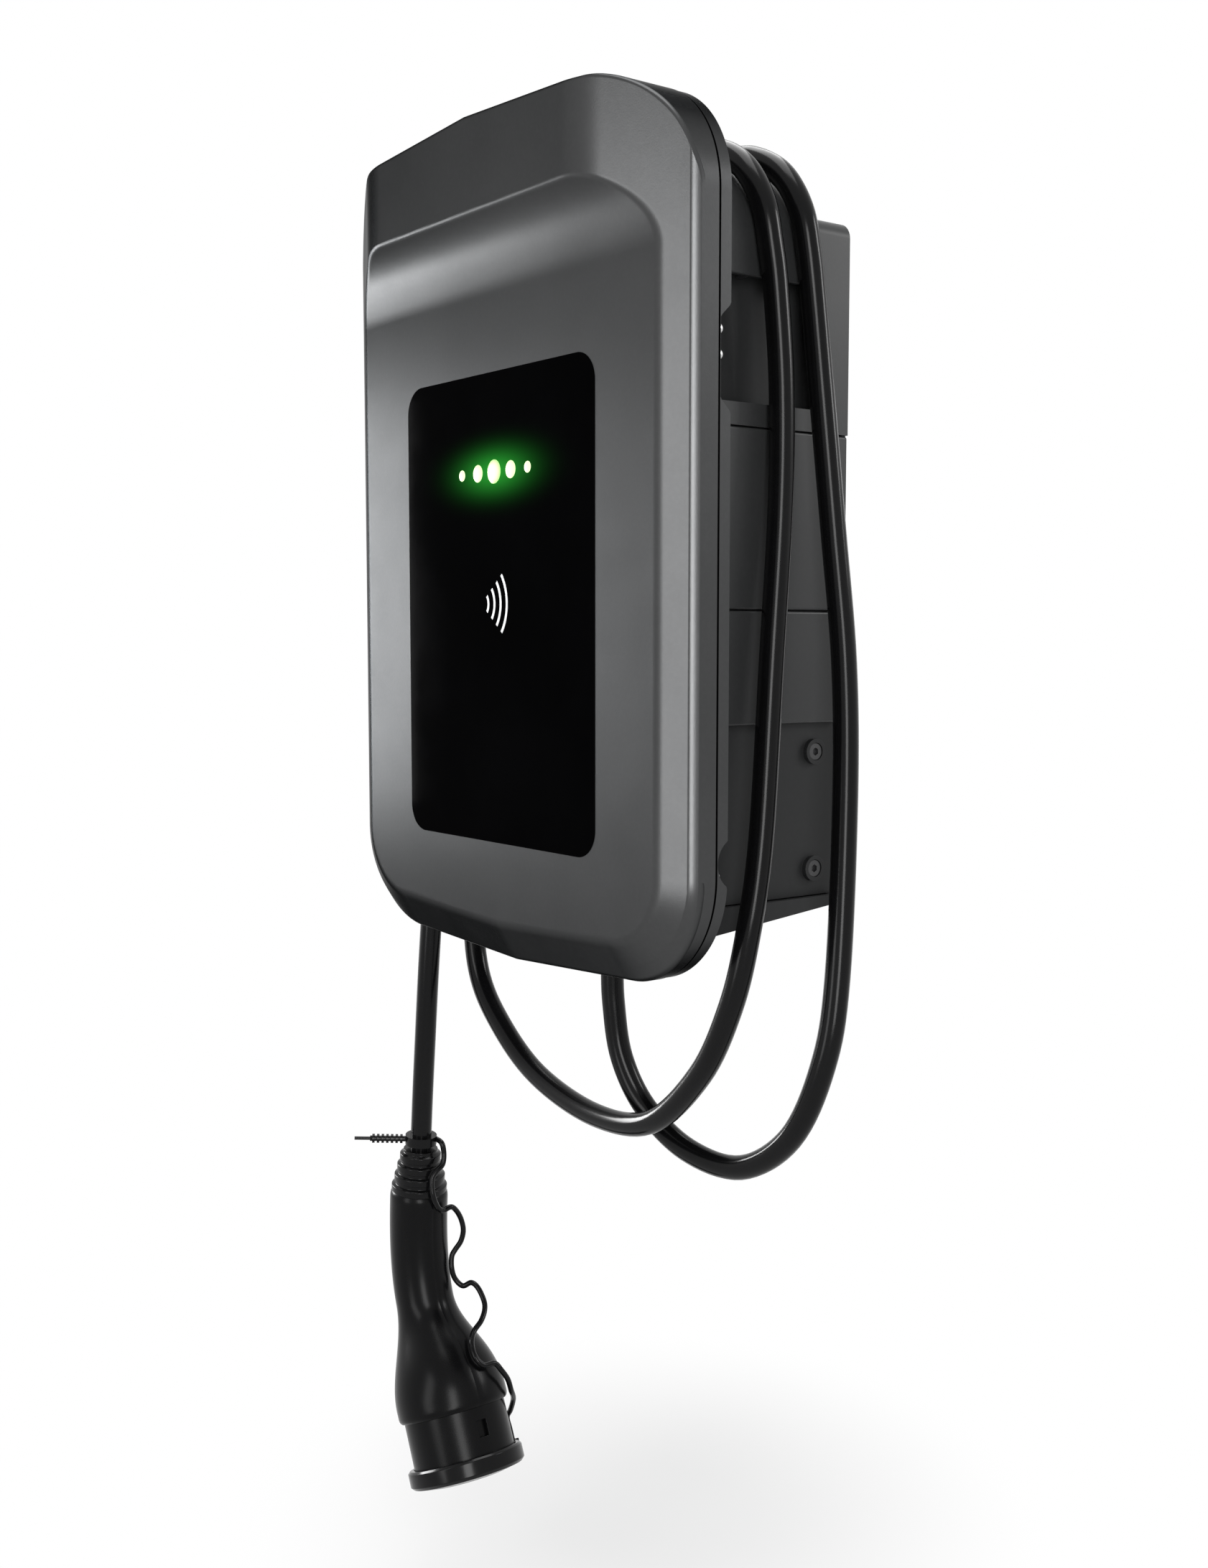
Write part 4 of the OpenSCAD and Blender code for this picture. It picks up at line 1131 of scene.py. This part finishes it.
@dataclass
class Plug:
    """Hanging plug: boot, handle in two halves, nose and dust cap. Sizes in millimetres."""

    boot_top: Point = (-162.0, -114.0, -378.0)
    lean: float = 5.0
    boot_len: float = 28.0
    nose_base: Point = (-123.0, -114.0, -541.0)
    nose_angle: float = 25.0
    pulls: Span = (86.0, 50.0)
    grip_r: float = 18.8
    mouth_r: float = 35.5
    nose_len: float = 37.0
    cap_grip: float = 9.0
    gap: float = 0.4
    image_turn: float = 59.0
    ear_turn: float = 94.0
    ear_r: float = 38.3
    around: int = 40
    along: int = 72
    seam: float = 0.35
    seam_half: float = 1.2

    # Shares of the handle's length: where it widens and for how long, its plain part, and its
    # rounded ends with what they take off the radius
    flare: Span = (0.41, 0.535)
    plain: Span = (0.02, 0.955)
    top_round: tuple[Span, ...] = ((0.0, 1.2), (0.004, 0.5), (0.012, 0.1))
    end_round: tuple[Span, ...] = ((0.985, 0.15), (0.993, 0.6), (1.0, 1.5))
    probe: float = 0.01

    def __post_init__(self) -> None:
        """Works out the axes."""
        lean, nose = math.radians(self.lean), math.radians(self.nose_angle)
        self.lean_dir = Vector((-math.sin(lean), 0, -math.cos(lean)))
        self.nose_dir = Vector((math.sin(nose), 0, -math.cos(nose)))
        self.tilt = Matrix.Rotation(-nose, 3, "Y")
        self.top = Vector(self.boot_top)
        self.base = Vector(self.nose_base)
        self.grip_top = self.top + self.lean_dir * self.boot_len
        self.bend = (self.grip_top, self.grip_top + self.lean_dir * self.pulls[0],
                     self.base - self.nose_dir * self.pulls[1], self.base)

    def by_nose(self, turn: float, r: float, up: float) -> Vector:
        """Point at an angle round the nose, a distance from its axis and a height on it."""
        a = math.radians(turn)
        return self.base + self.tilt @ Vector((r * math.cos(a), r * math.sin(a), up))

    def centre(self, t: float) -> Vector:
        """Point on the handle's centre line."""
        a, b, c, d = self.bend
        return (1 - t)**3 * a + 3 * t * (1 - t)**2 * b + 3 * t**2 * (1 - t) * c + t**3 * d

    def direction(self, t: float) -> Vector:
        """Direction of the handle's centre line, which is known at its ends."""
        step = self.centre(t + self.probe) - self.centre(t - self.probe)
        return {0.0: self.lean_dir, 1.0: self.nose_dir}.get(t) or step.normalized()

    def radius(self, t: float) -> float:
        """Radius of the handle."""
        c = min(1.0, max(0.0, (t - self.flare[0]) / self.flare[1]))
        return self.grip_r + (self.mouth_r - self.grip_r) * c * c * (3 - 2 * c)

    def half(self, side: int, name: str, node: str) -> Piece:
        """Builds one half of the handle.

        Args:
            side: 1 for the front half and -1 for the rear half.
            name: The piece's name.
            node: The solid that it replaces.

        Returns:
            The half.
        """
        start, run = self.plain
        plain = [(start + run * i / self.along, 0.0) for i in range(self.along + 1)]
        rings: list[list[Vector]] = []
        for t, less in (*self.top_round, *plain, *self.end_round):
            middle, v, r = self.centre(t), self.direction(t), self.radius(t) - less
            u, w = Vector((-v.z, 0, v.x)), Vector((0, -1, 0))
            ring: list[Vector] = []
            for a in (math.pi * k / self.around for k in range(self.around + 1)):
                seam = self.seam * max(0.0, 1 - min(a, math.pi - a) * r / self.seam_half)
                out = side * (r - seam) * (u * math.cos(a) + w * math.sin(a))
                ring.append((middle + out) * MM)
            rings.append(ring)
        piece = add_lofts(name, [rings], wrap=False, crease=WIDE_CREASE)
        return dress(piece, Body.STATION, Slot.HANDLE, [node])

    def build(self) -> list[Piece]:
        """Builds the plug's pieces.

        Returns:
            The pieces that hang on the cable.
        """
        pieces = [self.half(1, "handle_front_shell", "handle_front"),
                  self.half(-1, "handle_rear_shell", "handle_rear")]
        for node, width, slot, body in (("cable_boot", 0.5, Slot.CABLE, Body.STATION),
                                        ("plug_shroud", 0.6, Slot.HANDLE, Body.STATION),
                                        ("strap_collar", 0.25, Slot.CABLE, Body.STATION),
                                        ("dust_cap", 0.8, Slot.CABLE, Body.CAP)):
            pieces.append(dress(soften(node, width), body, slot, [node]))
        for node, slot in (("contact_carrier", Slot.HANDLE), ("contact_sleeves", Slot.CONTACT)):
            wear(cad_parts[node], slot)
            pieces.append(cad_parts[node])
        return pieces


@dataclass
class Leads:
    """Charging cable and cap strap. Routes are x, distance from the wall and height, in mm."""

    plug: Plug
    cable_dia: float = 13.5
    strap_dia: float = 3.5
    strap_sides: int = 16
    gland_d: float = 80.0
    gland_top: float = -174.0
    cable_route: tuple[Point, ...] = (
        (0, 80, -200), (0, 80, -232), (0, 79, -258), (4, 76, -290), (20, 71, -317), (52, 66, -335),
        (92, 61, -336), (126, 56, -312), (145.5, 52, -270), (150, 46.6, -223), (146, 38.6, -130),
        (139, 33.6, -60), (130, 33.8, 10), (123, 36.3, 80), (118.3, 38.5, 130), (117.5, 41.5, 153),
        (113.5, 43.5, 175), (101, 44.5, 194), (82, 45, 206), (60, 45.5, 210.5), (0, 46, 210.5),
        (-60, 46.5, 210.5), (-82, 46.5, 206), (-101, 47, 194), (-113.5, 48, 175), (-118, 50, 153),
        (-124, 56, 100), (-130, 64, 30), (-136, 72, -60), (-141, 79, -150), (-141, 85, -215),
        (-131, 88, -259), (-103, 90, -288), (-60, 91, -312), (-2, 91, -323), (50, 91, -315),
        (91, 90, -280), (113, 88, -240), (123, 85, -200), (126, 79, -150), (124, 71, -60),
        (121, 63, 20), (119, 61, 80), (118, 64.5, 130), (117.5, 68, 153), (113.5, 70, 175),
        (101, 71, 194), (82, 71, 206), (60, 70.3, 210.5), (0, 69, 210.5), (-60, 69.5, 210.5),
        (-82, 70, 206), (-101, 71, 194), (-113.5, 72.5, 175), (-118, 76, 153), (-125, 84, 90),
        (-132, 96, 0), (-139, 106, -100), (-144, 112, -190), (-149, 114, -250), (-155, 114, -305),
    )
    strap_route: tuple[Point, ...] = (
        (-157, 106, -372), (-147.6, 106.8, -372.7), (-146.4, 105.9, -379.6), (-145, 107.8, -385.9),
        (-144.6, 112.4, -389.4), (-144.6, 115.7, -393.2), (-143.9, 116.6, -399.2),
        (-142.7, 115.9, -406.6), (-143.4, 112, -414), (-144.4, 107.8, -416.4),
        (-144.3, 102, -415.3), (-145.1, 97.2, -419.5), (-145.9, 93.3, -426.4), (-146.4, 91.6, -434),
        (-147.3, 93, -441.1), (-148.8, 96.5, -446.6), (-149.1, 98.9, -450.7), (-147, 100.3, -457.6),
        (-146.4, 98.2, -465), (-142.7, 94.6, -469.5), (-138.2, 90.8, -466.8),
        (-132.6, 89.1, -469.2), (-126.7, 88.5, -475.9), (-122.4, 90.8, -480.3),
        (-118.6, 96, -484.8), (-116.3, 102.6, -488.8), (-112.6, 106.9, -492.1),
        (-107.7, 109.6, -496.1), (-103.2, 109.6, -500.8), (-100.5, 105.6, -505.3),
        (-100.3, 97.7, -506.1), (-98.2, 94, -510.8), (-99, 88.6, -518.6), (-100.7, 85, -527.3),
    )
    # Straight run above the boot, steps along the handle's centre line, angle past the picture's
    # side, distance from the nose and height of the strap's bends, its rise above the cap's ear
    # and the height where it starts to follow the cap
    straight: float = 34.0
    grip_steps: tuple[float, ...] = (0.12, 0.24, 0.36, 0.48)
    strap_bends: tuple[Point, ...] = ((7.0, 3.1, -3.0), (25.0, 2.9, -10.0))
    strap_rise: float = 7.0
    strap_hold: float = 2.0

    def __post_init__(self) -> None:
        """Works out both paths and the top of the cap's rim."""
        plug = self.plug
        ends = [plug.top - plug.lean_dir * self.straight, plug.top, plug.grip_top]
        ends += [plug.centre(t) for t in self.grip_steps]
        gland = (0, self.gland_d, self.gland_top)
        self.path = smooth_route(self.in_space((gland, *self.cable_route)) + [p * MM for p in ends])
        self.rim_top = plug.cap_grip - plug.nose_len - plug.gap
        tail = [plug.by_nose(plug.image_turn + turn, plug.mouth_r + out, up)
                for turn, out, up in self.strap_bends]
        tail += [self.by_ear(k * self.strap_rise) for k in (2, 1, 0)]
        self.strap_path = smooth_route(self.in_space(self.strap_route) + [p * MM for p in tail])

    @staticmethod
    def in_space(route: Iterable[Point]) -> list[Vector]:
        """Route points in the frame of the scene, in metres."""
        return [Vector((x, -d, z)) * MM for x, d, z in route]

    def by_ear(self, up: float) -> Vector:
        """Point so far above the cap's ear, in millimetres."""
        return self.plug.by_nose(self.plug.ear_turn, self.plug.ear_r, self.rim_top + up)

    def build(self, hang: Callable[[], list[Piece]]) -> None:
        """Builds both cords.

        Args:
            hang: Makes the pieces that hang on the cable.
        """
        station, cap, path, strap_path = Body.STATION, Body.CAP, self.path, self.strap_path
        cable = add_cord("charging_lead", path, self.cable_dia / 2 * MM)
        dress(cable, station, Slot.CABLE, ["charging_cable"])
        strap = add_tube("cap_tether", strap_path, self.strap_dia / 2 * MM, self.strap_sides)
        wear(strap, Slot.CABLE)
        tuple(strap_path[len(strap_path) // 2])
        tuple(self.by_ear(self.strap_hold) * MM)
        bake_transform(strap)
        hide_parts("cap_strap")
        LOG.info("piece %s between %s and %s", strap.name, station.value, cap.value)
        tuple(path[0])
        path_length(path)
        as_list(hang())
        tuple(strap_path[0])
        path_length(strap_path)
        [tuple(p) for p in strap_path]


# Stage


@dataclass(frozen=True)
class SoftBox:
    """Soft lamp that is aimed at a point, with its size in metres and its power in watts."""

    name: str
    place: Point
    aim: Point
    size: Span
    power: float

    def build(self) -> None:
        """Adds the lamp."""
        data = bpy.data.lights.new(self.name, "AREA")
        data.shape = "RECTANGLE"
        data.size, data.size_y = self.size
        data.energy = self.power
        lamp = add_object(self.name, data)
        lamp.location = self.place
        look = Vector(self.aim) - Vector(self.place)
        lamp.rotation_euler = look.to_track_quat("-Z", "Y").to_euler()


@dataclass
class Studio:
    """Camera at the photograph's view, pale floor and soft light. Places in metres."""

    eye: Point = (0.76502, -0.6595, -0.04615)
    turn: float = 53.14
    pitch: float = 5.0
    lens: float = 38.46
    sensor: float = 36.0
    ambient: float = 0.2
    floor_z: float = -0.66
    floor_r: float = 6.0
    floor_sides: int = 48
    # Painted shade: in a disc near the plug the floor's white gives way to this darker paper, which
    # also takes the real shadow
    paper: Span = (0.54, 0.57)
    painted_shade_at: Span = (-0.144, 0.048)
    painted_shade_reach: Span = (0.044, 0.294)
    painted_shade_white: float = 0.3
    lamps: tuple[SoftBox, ...] = (
        SoftBox("front_soft", (0.13, -1.45, 0.0), (0.13, -0.16, 0.0), (0.4, 1.15), 7.8),
        SoftBox("left_low", (-1.3, -0.58, 0.0), (0.0, -0.1, 0.0), (0.5, 0.54), 24.0),
        SoftBox("right_front", (1.5, -0.97, 0.1), (0.15, -0.15, 0.0), (0.5, 1.3), 24.0),
        SoftBox("top_soft", (-0.2, 0.1, 1.4), (0.0, -0.05, 0.0), (0.9, 1.7), 24.0),
        SoftBox("rear_right", (1.23, 1.64, 0.85), (0.11, -0.02, 0.1), (0.6, 0.75), 15.0),
    )

    def camera(self) -> None:
        """Sets the camera."""
        data = bpy.data.cameras.new("view")
        data.sensor_fit = "VERTICAL"
        data.sensor_height = self.sensor
        data.lens = self.lens
        camera = add_object("view", data)
        turn, pitch = math.radians(self.turn), math.radians(self.pitch)
        look = Vector((-math.sin(turn) * math.cos(pitch), math.cos(turn) * math.cos(pitch),
                       -math.sin(pitch)))
        camera.location = self.eye
        camera.rotation_euler = look.to_track_quat("-Z", "Y").to_euler()
        bpy.context.scene.camera = camera

    def world(self) -> None:
        """Sets a white background with a plain level of light."""
        world = bpy.data.worlds.new("studio")
        bpy.context.scene.world = world
        world.use_nodes = True
        m = Tree(world.node_tree, "ShaderNodeOutputWorld")
        dim, white = (m.node("ShaderNodeBackground", {0: (1, 1, 1), 1: level})
                      for level in (self.ambient, 1.0))
        m.show(m.node("ShaderNodeMixShader", {0: m.backdrop_rays(), 1: dim, 2: white}))

    def floor(self) -> None:
        """Lays a floor with a painted shade under the plug, in which the object's real shadow also
        shows, and which fades into the background.
        """
        rim = [(self.floor_r * c, self.floor_r * s, self.floor_z)
               for c, s in circle(self.floor_sides)]
        piece = add_mesh("studio_floor", rim, [range(len(rim))])
        m = Maker("floor_paper")
        low, high = ((level,) * 3 for level in self.paper)
        m.set(Base_Color=m.noise(3.0).mix(low, high), Roughness=0.9, Specular_IOR_Level=0.1)
        x, y = m.axis("X") - self.painted_shade_at[0], m.axis("Y") - self.painted_shade_at[1]
        # Painted shade: the white share falls towards the disc's middle, so the darker paper shows
        # there
        share = (x * x + y * y).root().ramp(*self.painted_shade_reach, self.painted_shade_white, 1.0)
        white = m.node("ShaderNodeEmission", {0: (1, 1, 1), 1: 1.0})
        m.show(m.node("ShaderNodeMixShader",
                      {0: m.backdrop_rays() * share, 1: m.surface, 2: white}))
        piece.data.materials.append(m.material)

    def build(self) -> None:
        """Sets up the whole stage."""
        bpy.context.scene.view_settings.view_transform = "Standard"
        self.camera()
        self.world()
        self.floor()
        for lamp in self.lamps:
            lamp.build()


def main() -> None:
    """Builds the stage and the station."""
    logging.basicConfig(level=logging.INFO, format="%(name)s: %(message)s")
    Studio().build()
    plug = Plug()
    Leads(plug).build(plug.build)
    Housing().build()
    FrontCover().build()
    FrontPanel().build()


if __name__ == "__main__":
    main()
